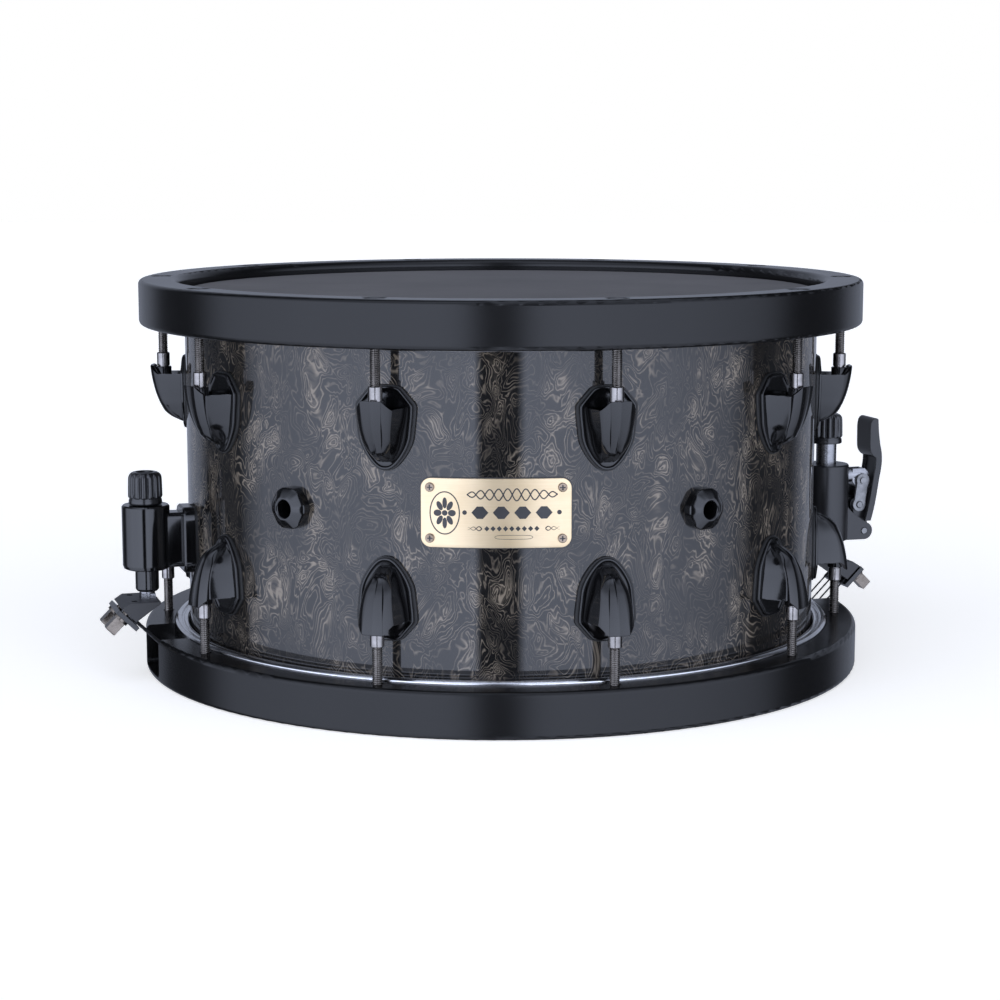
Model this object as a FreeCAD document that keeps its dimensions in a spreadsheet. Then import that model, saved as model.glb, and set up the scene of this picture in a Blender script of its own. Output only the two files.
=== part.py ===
"""Snare drum, 14 x 8 in, with cast hoops, twenty tension rods, a lever throw-off and an adjustable butt end.

All lengths are in millimetres. +Z is up, the origin is on the drum's axis in the plane the drum stands on,
and the badge faces -Y. Angles round the drum are counted from -Y towards +X. A piece that hangs on the shell
is drawn at the front, where -Y points outwards, and then turned to its place.
"""
import FreeCAD, Part
import Sketcher
import math
import os

os.makedirs("parts", exist_ok=True)
doc = FreeCAD.newDocument("snare_drum")

SIZES = [
    ("drum_depth", 203.2, "shell from bearing edge to bearing edge, 8 in"),
    ("shell_radius", 177.0, "outside of the 14 in shell"),
    ("shell_wall", 7.5, "ply thickness"),
    ("edge_setback", 2.7, "bearing edge crest, in from the outside"),
    ("outer_bevel", 3.45, "height of the outer bevel"),
    ("inner_bevel", 4.8, "height of the 45 degree inner bevel"),
    ("film_gauge", 0.25, "drum head film"),
    ("lip_over_head", 6.4, "hoop edge above the playing surface"),
    ("film_bend", 1.4, "flat of the film ends this far inside the shell's outside"),
    ("collar_gap", 1.2, "film collar stands off the shell"),
    ("collar_drop", 4.2, "sloped part of the collar"),
    ("collar_end", 24.0, "film ends this far from the hoop's outer face"),
    ("flesh_width", 7.05, "flesh hoop across"),
    ("flesh_end", 26.2, "flesh hoop ends this far from the hoop's outer face"),
    ("hoop_overhang", 25.0, "hoop outside the shell"),
    ("hoop_height", 24.4, ""),
    ("hoop_mouth", 3.5, "hoop's inner wall outside the shell"),
    ("hoop_recess", 9.0, "recess wall outside the shell"),
    ("lip_thickness", 15.6, "lip that presses on the flesh hoop"),
    ("hoop_round", 2.4, ""),
    ("hoop_mouth_round", 4.0, ""),
    ("gate_width", 42.0, "snare gate through the bottom hoop"),
    ("gate_floor", 3.0, "material left under the gate"),
    ("lug_count", 10, "lugs at each end"),
    ("rod_offset", 14.4, "tension rod axis outside the shell"),
    ("rod_radius", 2.7, "12-24 thread"),
    ("rod_hole_radius", 3.2, "rod hole in the hoop"),
    ("rod_end", 62.0, "rod's tip from the hoop's outer face"),
    ("rod_flange_radius", 4.9, ""),
    ("rod_flange_thickness", 1.6, ""),
    ("rod_square", 6.3, "drum key square"),
    ("rod_sink", 1.0, "square ends this far inside the hoop's face"),
    ("insert_radius", 6.2, "steel cup in the hoop"),
    ("insert_depth", 11.0, ""),
    ("insert_wall", 0.7, ""),
    ("insert_floor", 1.2, ""),
    ("lug_beak", 50.3, "top of the lug's front from the hoop's outer face"),
    ("lug_reach", 20.9, "lug's front outside the shell"),
    ("lug_half_width", 12.2, "cast body at its mouth"),
    ("lug_length", 31.8, "cast body, top to toe"),
    ("lug_plate_half", 14.9, "cast base plate"),
    ("lug_plate_face", 2.9, "face of the plate outside the shell"),
    ("lug_gasket_half", 15.7, ""),
    ("gasket_thickness", 1.5, ""),
    ("nut_radius", 3.6, "collar of the swivel nut"),
    ("nut_rise", 7.2, "collar above the lug's front edge"),
    ("nut_body_radius", 3.05, ""),
    ("screw_radius", 1.95, "mounting screws"),
    ("screw_hole_radius", 2.1, ""),
    ("screw_head_radius", 3.6, ""),
    ("washer_radius", 5.2, ""),
    ("badge_width", 75.0, ""),
    ("badge_height", 34.8, ""),
    ("badge_lift", 1.5, "badge centre above the middle of the drum"),
    ("badge_thickness", 1.3, ""),
    ("badge_corner", 5.0, ""),
    ("vent_angle", 36.0, "either side of the badge"),
    ("vent_drop", 1.1, "vent below the middle of the drum"),
    ("vent_radius", 12.1, "to the corners before they are turned off"),
    ("vent_turned", 11.2, "turned radius"),
    ("vent_bore", 4.5, ""),
    ("vent_rise", 7.6, ""),
    ("vent_tube", 5.9, ""),
    ("snare_angle", 108.0, "throw-off side"),
    ("column_offset", 26.0, "throw-off and butt column axis outside the shell"),
    ("column_radius", 13.0, "butt column"),
    ("throwoff_radius", 13.6, "throw-off column"),
    ("foot_thickness", 5.7, "bracket plate outside its gasket"),
    ("butt_bottom", 60.4, ""),
    ("butt_top", 95.9, ""),
    ("sleeve_radius", 6.4, ""),
    ("sleeve_bottom", 48.2, ""),
    ("stem_radius", 4.1, ""),
    ("stem_bore", 4.2, ""),
    ("stem_square", 7.9, ""),
    ("screw_rod_radius", 2.5, "tension screw"),
    ("screw_rod_bore", 2.58, ""),
    ("knob_radius", 9.4, ""),
    ("knob_height", 17.8, ""),
    ("flute_count", 14, ""),
    ("flute_radius", 1.3, ""),
    ("throwoff_bottom", 56.0, ""),
    ("throwoff_top", 101.7, ""),
    ("tube_radius", 6.0, "steel carriage tube"),
    ("tube_bore", 6.08, ""),
    ("tube_top", 114.0, ""),
    ("pivot_reach", 22.6, "lever pivot outside the column axis"),
    ("pivot_height", 61.1, ""),
    ("pin_radius", 2.0, ""),
    ("pin_hole_radius", 2.06, ""),
    ("crank", 16.06, "lever pivot to link pin"),
    ("crank_lean", -10.4, "crank angle at rest, degrees outwards from upright"),
    ("post_reach", 21.85, "post pin outside the column axis"),
    ("link_length", 14.56, ""),
    ("link_half", 4.1, ""),
    ("link_thickness", 1.4, ""),
    ("ear_radius", 5.2, ""),
    ("ear_thickness", 2.4, ""),
    ("rib_thickness", 2.4, "lever ribs"),
    ("boss_radius", 4.5, "steel post from tube to link"),
    ("boss_half", 4.2, "half width of the post's end"),
    ("clamp_width", 30.0, ""),
    ("clamp_top", 44.2, ""),
    ("jaw_thickness", 2.6, ""),
    ("bolt_radius", 2.0, "clamp bolts"),
    ("bolt_square", 6.3, ""),
    ("bolt_head", 8.4, ""),
    ("bolt_spacing", 19.0, ""),
    ("cord_count", 4, "snare cords at each end"),
    ("cord_pitch", 7.6, ""),
    ("cord_thickness", 1.0, ""),
    ("cord_level", 3.9, "underside of the flat run of the cords"),
    ("wire_count", 20, "snare wires"),
    ("wire_pitch", 2.0, ""),
    ("wire_radius", 0.7, ""),
    ("wire_level", 5.6, ""),
    ("plate_reach", 138.0, "end plate's outer edge from the axis"),
    ("plate_length", 11.0, ""),
]

sheet = doc.addObject("Spreadsheet::Sheet", "sizes")
for row, (alias, number, note) in enumerate(SIZES, start=1):
    sheet.set(f"A{row}", alias)
    sheet.set(f"B{row}", str(number))
    sheet.set(f"C{row}", note)
    sheet.setAlias(f"B{row}", alias)
doc.recompute()


class Dim:
    """A length that carries both its number and the sheet expression it comes from."""

    def __init__(self, value, text):
        self.value = float(value)
        self.text = text

    def join(self, sign, other, value, swap=False):
        first, second = (as_dim(other), self) if swap else (self, as_dim(other))
        return Dim(value, f"({first.text} {sign} {second.text})")

    def __add__(self, other):
        return self.join("+", other, self.value + number(other))

    def __radd__(self, other):
        return self.join("+", other, number(other) + self.value, swap=True)

    def __sub__(self, other):
        return self.join("-", other, self.value - number(other))

    def __rsub__(self, other):
        return self.join("-", other, number(other) - self.value, swap=True)

    def __mul__(self, other):
        return self.join("*", other, self.value * number(other))

    def __rmul__(self, other):
        return self.join("*", other, number(other) * self.value, swap=True)

    def __truediv__(self, other):
        return self.join("/", other, self.value / number(other))

    def __neg__(self):
        return 0 - self


def number(length):
    return length.value if isinstance(length, Dim) else float(length)


def as_dim(length):
    return length if isinstance(length, Dim) else Dim(length, f"{length:.6f}")


def size(alias):
    return Dim(sheet.get(alias), f"sizes.{alias}")


def bind(item, prop, length):
    """Give a property a size and tie it to the sheet."""
    item.setExpression(prop, as_dim(length).text)


# ---------------------------------------------------------------- shared levels and radii

shell_radius = size("shell_radius")
drum_height = size("drum_depth") + 2 * (size("film_gauge") + size("lip_over_head"))
head_level = size("lip_over_head")
edge_level = head_level + size("film_gauge")
hoop_radius = shell_radius + size("hoop_overhang")
flesh_inner = shell_radius + size("collar_gap") + size("film_gauge")
rod_circle = shell_radius + size("rod_offset")
column_axis = shell_radius + size("column_offset")
pitch = 360.0 / number(size("lug_count"))
rod_angles = [pitch * (k + 0.5) for k in range(int(number(size("lug_count"))))]
snare_angle = number(size("snare_angle"))
butt_angle = snare_angle - 180.0
exported = []


def level(top, depth):
    """Height of a point that lies `depth` in from the hoop's outer face, at the top or the bottom of the drum."""
    return drum_height - depth if top else as_dim(depth)


def turned(angle):
    """Placement that carries a piece drawn at the front to its angle round the drum."""
    return FreeCAD.Placement(FreeCAD.Vector(0, 0, 0), FreeCAD.Rotation(FreeCAD.Vector(0, 0, 1), angle))


# ---------------------------------------------------------------- helpers for PartDesign bodies


def new_body(label, angle=0.0):
    body = doc.addObject("PartDesign::Body", label)
    body.Label = label
    body.Placement = turned(angle)
    return body


def plane(body, role):
    return next(item for item in body.Origin.OriginFeatures if item.Role == role)


def outline(body, points, role, lift=0):
    """Closed polygon sketch on one of the body's planes, each corner tied to the sheet."""
    sketch = body.newObject("Sketcher::SketchObject", f"{body.Name}_outline")
    sketch.AttachmentSupport = [(plane(body, role), "")]
    sketch.MapMode = "FlatFace"
    bind(sketch, "AttachmentOffset.Base.z", lift)
    spots = [FreeCAD.Vector(number(x), number(y), 0) for x, y in points]
    count = len(spots)
    for k in range(count):
        sketch.addGeometry(Part.LineSegment(spots[k], spots[(k + 1) % count]), False)
    for k in range(count):
        sketch.addConstraint(Sketcher.Constraint("Coincident", k, 2, (k + 1) % count, 1))
    for k, (x, y) in enumerate(points):
        for kind, length in (("DistanceX", x), ("DistanceY", y)):
            spot = sketch.addConstraint(Sketcher.Constraint(kind, -1, 1, k, 1, number(length)))
            if isinstance(length, Dim):
                bind(sketch, f"Constraints[{spot}]", length)
    return sketch


def revolved(label, points, angle=0.0, out=0):
    """Body turned about the upright line that stands `out` from the drum's axis. Points are (radius, height)."""
    body = new_body(label, angle)
    shift_body(body, angle, out)
    sketch = outline(body, points, "XZ_Plane")
    turn = body.newObject("PartDesign::Revolution", f"{label}_turn")
    turn.Profile = sketch
    turn.ReferenceAxis = (sketch, ["V_Axis"])
    turn.Angle = 360.0
    body.Tip = turn
    return body


def shift_body(body, angle, out):
    """Stand a body `out` from the axis, at its angle round the drum."""
    if isinstance(out, Dim):
        bind(body, "Placement.Base.x", out * math.sin(math.radians(angle)))
        bind(body, "Placement.Base.y", out * -math.cos(math.radians(angle)))


def slab(label, points, width, angle=0.0, centre=0):
    """Body cut from plate in the drum's radial plane. Points are (distance from the axis, height)."""
    body = new_body(label, angle)
    add_slab(body, points, width, centre)
    return body


def add_slab(body, points, width, centre=0, cut=False):
    sketch = outline(body, [(-as_dim(r), z) for r, z in points], "YZ_Plane", centre - as_dim(width) / 2)
    kind = "Pocket" if cut else "Pad"
    feature = body.newObject(f"PartDesign::{kind}", f"{body.Name}_{kind.lower()}")
    feature.Profile = sketch
    bind(feature, "Length", width)
    if cut:
        feature.Reversed = True
    body.Tip = feature
    return feature


def primitive(body, kind, spot, turn=None, **lengths):
    """Add or cut a box, cylinder or prism in a body."""
    item = body.newObject(f"PartDesign::{kind}", f"{body.Name}_{kind.lower()}")
    for prop, length in lengths.items():
        bind(item, prop, length)
    item.Placement.Rotation = turn or FreeCAD.Rotation()
    for axis, length in zip("xyz", spot):
        bind(item, f"Placement.Base.{axis}", length)
    body.Tip = item
    return item


def rounded(body, radius, keep):
    """Fillet the circular edges that `keep` picks by radius and height."""
    doc.recompute()
    tip = body.Tip
    names = []
    for k, edge in enumerate(tip.Shape.Edges, start=1):
        curve = edge.Curve
        if isinstance(curve, Part.Circle) and keep(curve.Radius, curve.Center):
            names.append(f"Edge{k}")
    fillet = body.newObject("PartDesign::Fillet", f"{body.Name}_round")
    fillet.Base = (tip, names)
    bind(fillet, "Radius", radius)
    body.Tip = fillet
    return fillet


ALONG_OUT = FreeCAD.Rotation(FreeCAD.Vector(1, 0, 0), 90)
ALONG_SIDE = FreeCAD.Rotation(FreeCAD.Vector(0, 1, 0), 90)


def feature(label, shape, angle=0.0):
    """Piece whose form needs lofts or curved cuts, kept as its own object."""
    item = doc.addObject("Part::Feature", label)
    item.Label = label
    item.Shape = shape
    item.Placement = turned(angle)
    return item


def ring_of(label, shape, angles, both_ends=False):
    """One node of equal pieces: the shape turned to each angle and, if asked, mirrored to the other end."""
    pieces = []
    for angle in angles:
        piece = shape.copy()
        piece.rotate(FreeCAD.Vector(0, 0, 0), FreeCAD.Vector(0, 0, 1), angle)
        pieces.append(piece)
    if both_ends:
        pieces += [flipped(piece) for piece in pieces]
    return feature(label, Part.makeCompound([s for piece in pieces for s in piece.Solids]))


def flipped(shape):
    """Mirror image about the middle of the drum."""
    return shape.mirror(FreeCAD.Vector(0, 0, number(drum_height) / 2), FreeCAD.Vector(0, 0, 1))


def rod(radius, start, end):
    """Plain cylinder between two points, as a shape."""
    way = end - start
    return Part.makeCylinder(radius, way.Length, start, way)


def at(tangent, out, height):
    """Point at the front of the drum: across, out from the axis, up."""
    return FreeCAD.Vector(tangent, -out, height)


def rims(shape):
    """The circular end edges of a cylinder."""
    return [edge for edge in shape.Edges if isinstance(edge.Curve, Part.Circle)]


def plate_face(points):
    return Part.Face(Part.makePolygon(list(points) + [points[0]]))


def export(node, item):
    exported.append((node, item))


# ---------------------------------------------------------------- shell


def shell():
    """Ply shell with double 45 degree bearing edges and its drilled holes."""
    inner = shell_radius - size("shell_wall")
    crest = shell_radius - size("edge_setback")
    top = drum_height - edge_level
    body = revolved(
        "shell_blank",
        [
            (inner, edge_level + size("inner_bevel")),
            (crest, edge_level),
            (shell_radius, edge_level + size("outer_bevel")),
            (shell_radius, top - size("outer_bevel")),
            (crest, top),
            (inner, top - size("inner_bevel")),
        ],
    )
    doc.recompute()
    return feature("shell", body.Shape.cut(Part.makeCompound(shell_holes())))


def through_shell(angle, height, radius, tangent=0.0, depth=20.0):
    """Radial drill through the shell wall."""
    start = at(tangent, number(shell_radius) - depth, height)
    hole = Part.makeCylinder(radius, depth + 5.0, start, FreeCAD.Vector(0, -1, 0))
    hole.rotate(FreeCAD.Vector(0, 0, 0), FreeCAD.Vector(0, 0, 1), angle)
    return hole


def lug_screw_height():
    return number(drum_height - size("lug_beak")) - 21.5


def bracket_screw_spots():
    """(angle, height) of the two screws behind each column bracket."""
    butt = [(butt_angle, z) for z in (67.0, 86.0)]
    throwoff = [(snare_angle, z) for z in (66.0, 90.0)]
    return butt + throwoff


def badge_screw_spots():
    across = number(size("badge_width")) / 2 - 4.6
    up = number(size("badge_height")) / 2 - 4.6
    middle = number(drum_height / 2 + size("badge_lift"))
    turn = math.degrees(across / number(shell_radius))
    return [(s * turn, middle + u * up) for s in (-1, 1) for u in (-1, 1)]


def vent_height():
    return number(drum_height / 2 - size("vent_drop"))


def shell_holes():
    radius = number(size("screw_hole_radius"))
    holes = []
    for angle in rod_angles:
        for height in (lug_screw_height(), number(drum_height) - lug_screw_height()):
            holes.append(through_shell(angle, height, radius))
    holes += [through_shell(angle, height, radius) for angle, height in bracket_screw_spots()]
    vent = number(size("vent_tube")) + 0.1
    holes += [through_shell(s * number(size("vent_angle")), vent_height(), vent) for s in (-1, 1)]
    holes += [through_shell(angle, height, 1.15, depth=5.0) for angle, height in badge_screw_spots()]
    return holes


# ---------------------------------------------------------------- heads and hoops


def head(label, top):
    """Film with its collar, flat across the bearing edge and down into the flesh hoop."""
    bend = shell_radius - size("film_bend")
    inner = shell_radius + size("collar_gap")
    gauge = size("film_gauge")
    slope = head_level + size("collar_drop")
    return revolved(
        label,
        [
            (0, level(top, head_level)),
            (bend, level(top, head_level)),
            (inner + gauge, level(top, slope)),
            (inner + gauge, level(top, size("collar_end"))),
            (inner, level(top, size("collar_end"))),
            (inner, level(top, slope + gauge / 2)),
            (bend - gauge / 2, level(top, edge_level)),
            (0, level(top, edge_level)),
        ],
    )


def flesh_hoop(label, top):
    """Aluminium hoop that grips the film, with a bead and a groove on its open side."""
    outer = flesh_inner + size("flesh_width")
    end = size("flesh_end")
    return revolved(
        label,
        [
            (flesh_inner, level(top, size("lip_thickness"))),
            (outer, level(top, size("lip_thickness"))),
            (outer, level(top, end - 1.6)),
            (outer - 0.7, level(top, end - 0.4)),
            (outer - 1.9, level(top, end)),
            (outer - 3.2, level(top, end - 0.3)),
            (outer - 3.9, level(top, end - 1.2)),
            (outer - 4.6, level(top, end - 1.2)),
            (outer - 5.2, level(top, end - 0.6)),
            (flesh_inner, level(top, end - 0.9)),
        ],
    )


def hoop(label, top):
    """Thick hoop: rod holes with cups sunk in its outer face and a recess for the flesh hoop."""
    mouth = shell_radius + size("hoop_mouth")
    recess = shell_radius + size("hoop_recess")
    body = revolved(
        f"{label}_blank",
        [
            (mouth, level(top, 0)),
            (hoop_radius, level(top, 0)),
            (hoop_radius, level(top, size("hoop_height"))),
            (recess, level(top, size("hoop_height"))),
            (recess, level(top, size("lip_thickness"))),
            (mouth, level(top, size("lip_thickness"))),
        ],
    )
    wide = number(hoop_radius)
    face = number(level(top, 0))
    rounded(body, size("hoop_round"), lambda r, c: abs(r - wide) < 0.01)
    rounded(body, size("hoop_mouth_round"), lambda r, c: abs(r - number(mouth)) < 0.01 and abs(c.z - face) < 0.01)
    doc.recompute()
    cuts = []
    for angle in rod_angles:
        for radius, depth in (("rod_hole_radius", "hoop_height"), ("insert_radius", "insert_depth")):
            reach = number(size(depth)) + (1.0 if depth == "hoop_height" else 0.0)
            hole = rod(number(size(radius)), at(0, number(rod_circle), -0.5), at(0, number(rod_circle), reach))
            hole.rotate(FreeCAD.Vector(0, 0, 0), FreeCAD.Vector(0, 0, 1), angle)
            cuts.append(flipped(hole) if top else hole)
    if not top:
        cuts += [snare_gate(angle) for angle in (snare_angle, butt_angle)]
    return feature(label, body.Shape.cut(Part.makeCompound(cuts)))


def snare_gate(angle):
    """Notch that lets the cords out between the shell and the column."""
    width = number(size("gate_width"))
    floor = number(size("gate_floor"))
    start = FreeCAD.Vector(-width / 2, -number(hoop_radius) - 5.0, floor)
    notch = Part.makeBox(width, 30.0 + number(size("hoop_overhang")), 40.0, start)
    corners = [edge for edge in notch.Edges if abs(edge.CenterOfMass.z - floor) < 0.01 and edge.Length > width]
    notch = notch.makeFillet(3.0, corners)
    notch.rotate(FreeCAD.Vector(0, 0, 0), FreeCAD.Vector(0, 0, 1), angle)
    return notch


def insert_cup():
    """Steel cup that seats one tension rod's flange."""
    outer = size("insert_radius") - 0.05
    inner = size("insert_radius") - size("insert_wall")
    bore = size("rod_radius") + 0.25
    floor = size("insert_depth") - size("insert_floor")
    body = revolved(
        "insert_cup",
        [
            (bore, floor),
            (inner, floor),
            (inner, 0.4),
            (inner + 0.3, 0.1),
            (outer, 0.1),
            (outer, size("insert_depth") - 0.02),
            (bore, size("insert_depth") - 0.02),
        ],
        out=rod_circle,
    )
    doc.recompute()
    return body.Shape


def tension_rod(label, angle, top):
    """Key rod: square head, flange and threaded shank."""
    flange = size("insert_depth") - size("insert_floor") - 0.02
    neck = flange - size("rod_flange_thickness")
    radius = size("rod_radius")
    body = revolved(
        label,
        [
            (0, level(top, neck)),
            (size("rod_flange_radius"), level(top, neck)),
            (size("rod_flange_radius"), level(top, flange)),
            (radius, level(top, flange)),
            (radius, level(top, size("rod_end") - 1.0)),
            (radius - 0.8, level(top, size("rod_end"))),
            (0, level(top, size("rod_end"))),
        ],
        angle,
        rod_circle,
    )
    half = size("rod_square") / 2
    start = level(top, neck) if top else level(top, size("rod_sink"))
    tall = neck - size("rod_sink")
    primitive(
        body,
        "AdditiveBox",
        (-half, -half, start),
        Length=size("rod_square"),
        Width=size("rod_square"),
        Height=tall,
    )
    return body


# ---------------------------------------------------------------- lugs

# Half sections of the cast body, mouth to toe: share of its length below the beak, then the half width at the
# plate, the crease and the front facet, and the reach of crease and front, as shares of the full width and reach.
LUG_SECTIONS = [
    (-0.02, 1.02, 0.81, 0.49, 0.77, 1.010),
    (0.14, 0.99, 0.79, 0.46, 0.765, 0.985),
    (0.33, 0.93, 0.73, 0.42, 0.755, 0.935),
    (0.53, 0.83, 0.655, 0.36, 0.70, 0.855),
    (0.70, 0.73, 0.575, 0.31, 0.595, 0.75),
    (0.845, 0.575, 0.43, 0.27, 0.42, 0.605),
    (0.945, 0.40, 0.32, 0.21, 0.24, 0.38),
    (1.0, 0.26, 0.20, 0.13, 0.145, 0.185),
]

# Half outline of the base plate: share of its half width, height above or below the beak.
PLATE_OUTLINE = [(0.0, 6.1), (0.30, 6.0), (0.53, 5.0), (1.0, -3.2), (0.99, -8.0), (0.92, -17.4)]
PLATE_TOE = [(0.92, -17.4), (0.80, -24.2), (0.57, -30.0), (0.31, -34.2), (0.0, -35.7)]


def lug_section(share, wall):
    """Six-cornered section of the cast body at one height, drawn in by `wall`."""
    drop, side, crease, front, crease_out, front_out = share
    half = number(size("lug_half_width"))
    reach = number(size("lug_reach"))
    base = number(shell_radius)
    beak = number(drum_height - size("lug_beak"))
    foot = number(size("lug_plate_face")) - (0.9 if wall == 0 else 0.0)
    height = beak - drop * number(size("lug_length"))
    right = [
        (side * half - wall, base + foot),
        (crease * half - 0.95 * wall, base + crease_out * reach - 0.75 * wall),
        (front * half - 0.55 * wall, base + front_out * reach - wall),
    ]
    ring = right + [(-t, r) for t, r in reversed(right)]
    return Part.makePolygon([at(t, r, height) for t, r in ring + ring[:1]])


def plate_outline(half, grow, height_out):
    """Shield outline of plate or gasket, `grow` larger all round, as a face at one distance from the axis."""
    beak = number(drum_height - size("lug_beak"))
    right = [(x * half, beak + z + grow * (1 if z > 0 else 0)) for x, z in PLATE_OUTLINE]
    widest = PLATE_TOE[0][0]
    toe = [(x * half, beak + z - grow * (1 - x / widest)) for x, z in PLATE_TOE]
    toe_all = toe + [(-x, z) for x, z in reversed(toe[:-1])]
    curve = Part.BSplineCurve()
    curve.interpolate([at(x, height_out, z) for x, z in toe_all])
    straight = [at(x, height_out, z) for x, z in right]
    left = [at(-x, height_out, z) for x, z in reversed(right[1:])]
    edges = Part.makePolygon(left + straight).Edges + [curve.toShape()]
    return Part.Face(Part.Wire(Part.__sortEdges__(edges)))


def lug():
    """Cast lug: hollow six-faced body on a rimmed base plate, with a seat for the swivel nut."""
    base = number(shell_radius)
    face = base + number(size("lug_plate_face"))
    beak = number(drum_height - size("lug_beak"))
    half = number(size("lug_plate_half"))
    saddle = Part.makeCylinder(base + number(size("gasket_thickness")), number(drum_height))
    plate = plate_outline(half, 0.0, base - 3.0).extrude(FreeCAD.Vector(0, -(face - base + 3.0), 0))
    well = plate_outline(half - 1.3, -1.2, face - 0.9).extrude(FreeCAD.Vector(0, -5.0, 0))
    body = Part.makeLoft([lug_section(s, 0.0) for s in LUG_SECTIONS], True, False)
    hollow = Part.makeLoft([lug_section(s, 1.6) for s in LUG_SECTIONS[:6]], True, False)
    axis = number(rod_circle)
    seat = rod(5.0, at(0, axis, beak - 16.0), at(0, axis, beak + 3.0))
    bore = rod(number(size("nut_body_radius")) + 0.1, at(0, axis, beak - 13.2), at(0, axis, beak + 9.0))
    shape = body.cut(hollow).fuse(seat.common(body)).cut(bore)
    shape = shape.cut(lug_mouth())
    shape = plate.cut(saddle).cut(well).fuse(shape)
    height = lug_screw_height()
    shape = shape.fuse(lug_post(height)).cut(lug_post_hole(height))
    return shape.removeSplitter().Solids[0]


def lug_mouth():
    """Everything above the lug's slanted rim: level across the front, lower at the side walls."""
    half = number(size("lug_half_width"))
    beak = number(drum_height - size("lug_beak"))
    low = beak - 4.5
    front = 0.47 * half
    crease = 0.79 * half
    rim = [(-30.0, low), (-crease, low), (-front, beak), (front, beak), (crease, low), (30.0, low)]
    rim += [(30.0, beak + 20.0), (-30.0, beak + 20.0)]
    start = number(shell_radius) + number(size("lug_plate_face"))
    return plate_face([at(t, start, z) for t, z in rim]).extrude(FreeCAD.Vector(0, -40.0, 0))


def lug_post(height):
    """Boss behind the plate that takes a mounting screw."""
    start = number(shell_radius) + number(size("gasket_thickness"))
    return rod(3.6, at(0, start + 0.1, height), at(0, start + 5.5, height))


def lug_post_hole(height):
    start = number(shell_radius)
    return rod(number(size("screw_hole_radius")), at(0, start, height), at(0, start + 5.6, height))


def lug_gasket():
    """Rubber gasket between lug and shell."""
    base = number(shell_radius)
    thick = number(size("gasket_thickness"))
    tall = number(drum_height)
    blank = plate_outline(number(size("lug_gasket_half")), 0.8, base - 4.0).extrude(FreeCAD.Vector(0, -9.0, 0))
    skin = Part.makeCylinder(base + thick, tall).cut(Part.makeCylinder(base, tall))
    height = lug_screw_height()
    return blank.common(skin).cut(rod(2.3, at(0, base - 2.0, height), at(0, base + 5.0, height)))


def swivel_nut():
    """Nut with its bright collar standing in the mouth of the lug."""
    beak = drum_height - size("lug_beak")
    bore = size("rod_radius") + 0.06
    body = revolved(
        "swivel_nut",
        [
            (bore, beak - 12.8),
            (size("nut_body_radius"), beak - 12.8),
            (size("nut_body_radius"), beak),
            (size("nut_radius"), beak),
            (size("nut_radius"), beak + size("nut_rise") - 0.4),
            (size("nut_radius") - 0.4, beak + size("nut_rise")),
            (bore, beak + size("nut_rise")),
        ],
        out=rod_circle,
    )
    doc.recompute()
    return body.Shape


def mounting_screw(height, tip):
    """Pan head screw with washer, put in from inside the shell at the front."""
    inside = number(shell_radius) - number(size("shell_wall"))
    shank = number(size("screw_radius"))
    washer = rod(number(size("washer_radius")), at(0, inside - 1.6, height), at(0, inside - 0.1, height))
    pan = rod(number(size("screw_head_radius")), at(0, inside - 4.2, height), at(0, inside - 1.6, height))
    slot = Part.makeBox(1.0, 1.2, 9.0, FreeCAD.Vector(-0.5, -(inside - 3.2), height - 4.5))
    shaft = rod(shank, at(0, inside - 2.0, height), at(0, number(shell_radius) + tip, height))
    return washer.fuse([pan, shaft]).cut(slot).removeSplitter()


# ---------------------------------------------------------------- badge and vents


def badge():
    """Curved brass plate with rounded corners."""
    base = number(shell_radius)
    wide = number(size("badge_width")) / 2
    tall = number(size("badge_height"))
    middle = number(drum_height / 2 + size("badge_lift"))
    blank = Part.makeBox(2 * wide, 20.0, tall, FreeCAD.Vector(-wide, -base - 8.0, middle - tall / 2))
    corners = [edge for edge in blank.Edges if abs(edge.Length - 20.0) < 0.01]
    blank = blank.makeFillet(number(size("badge_corner")), corners)
    skin = Part.makeCylinder(base + number(size("badge_thickness")), number(drum_height))
    skin = skin.cut(Part.makeCylinder(base, number(drum_height)))
    holes = []
    for angle, height in badge_screw_spots():
        holes.append(through_shell(angle, height, 1.15))
    return feature("badge_plate", blank.common(skin).cut(Part.makeCompound(holes)))


def badge_screws():
    """Four cross-head screws."""
    base = number(shell_radius) + number(size("badge_thickness"))
    screws = []
    for angle, height in badge_screw_spots():
        shaft = rod(1.1, at(0, base - 5.0, height), at(0, base + 0.3, height))
        dome = rod(2.3, at(0, base + 0.02, height), at(0, base + 1.1, height))
        dome = dome.makeFillet(0.5, [dome.Edges[0] if dome.Edges[0].CenterOfMass.y < dome.Edges[2].CenterOfMass.y else dome.Edges[2]])
        screw = dome.fuse(shaft)
        for wide, tall in ((2.6, 0.5), (0.5, 2.6)):
            screw = screw.cut(Part.makeBox(wide, 1.0, tall, FreeCAD.Vector(-wide / 2, -base - 1.6, height - tall / 2)))
        screw.rotate(FreeCAD.Vector(0, 0, 0), FreeCAD.Vector(0, 0, 1), angle)
        screws.append(screw)
    return feature("badge_screws", Part.makeCompound([s for screw in screws for s in screw.Solids]))


def hexagon(radius, out, height):
    """Six-cornered wire, a corner upwards, at one distance from the axis."""
    spots = [(radius * math.sin(math.radians(60 * k)), radius * math.cos(math.radians(60 * k))) for k in range(7)]
    return Part.makePolygon([at(x, out, height + z) for x, z in spots])


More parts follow.
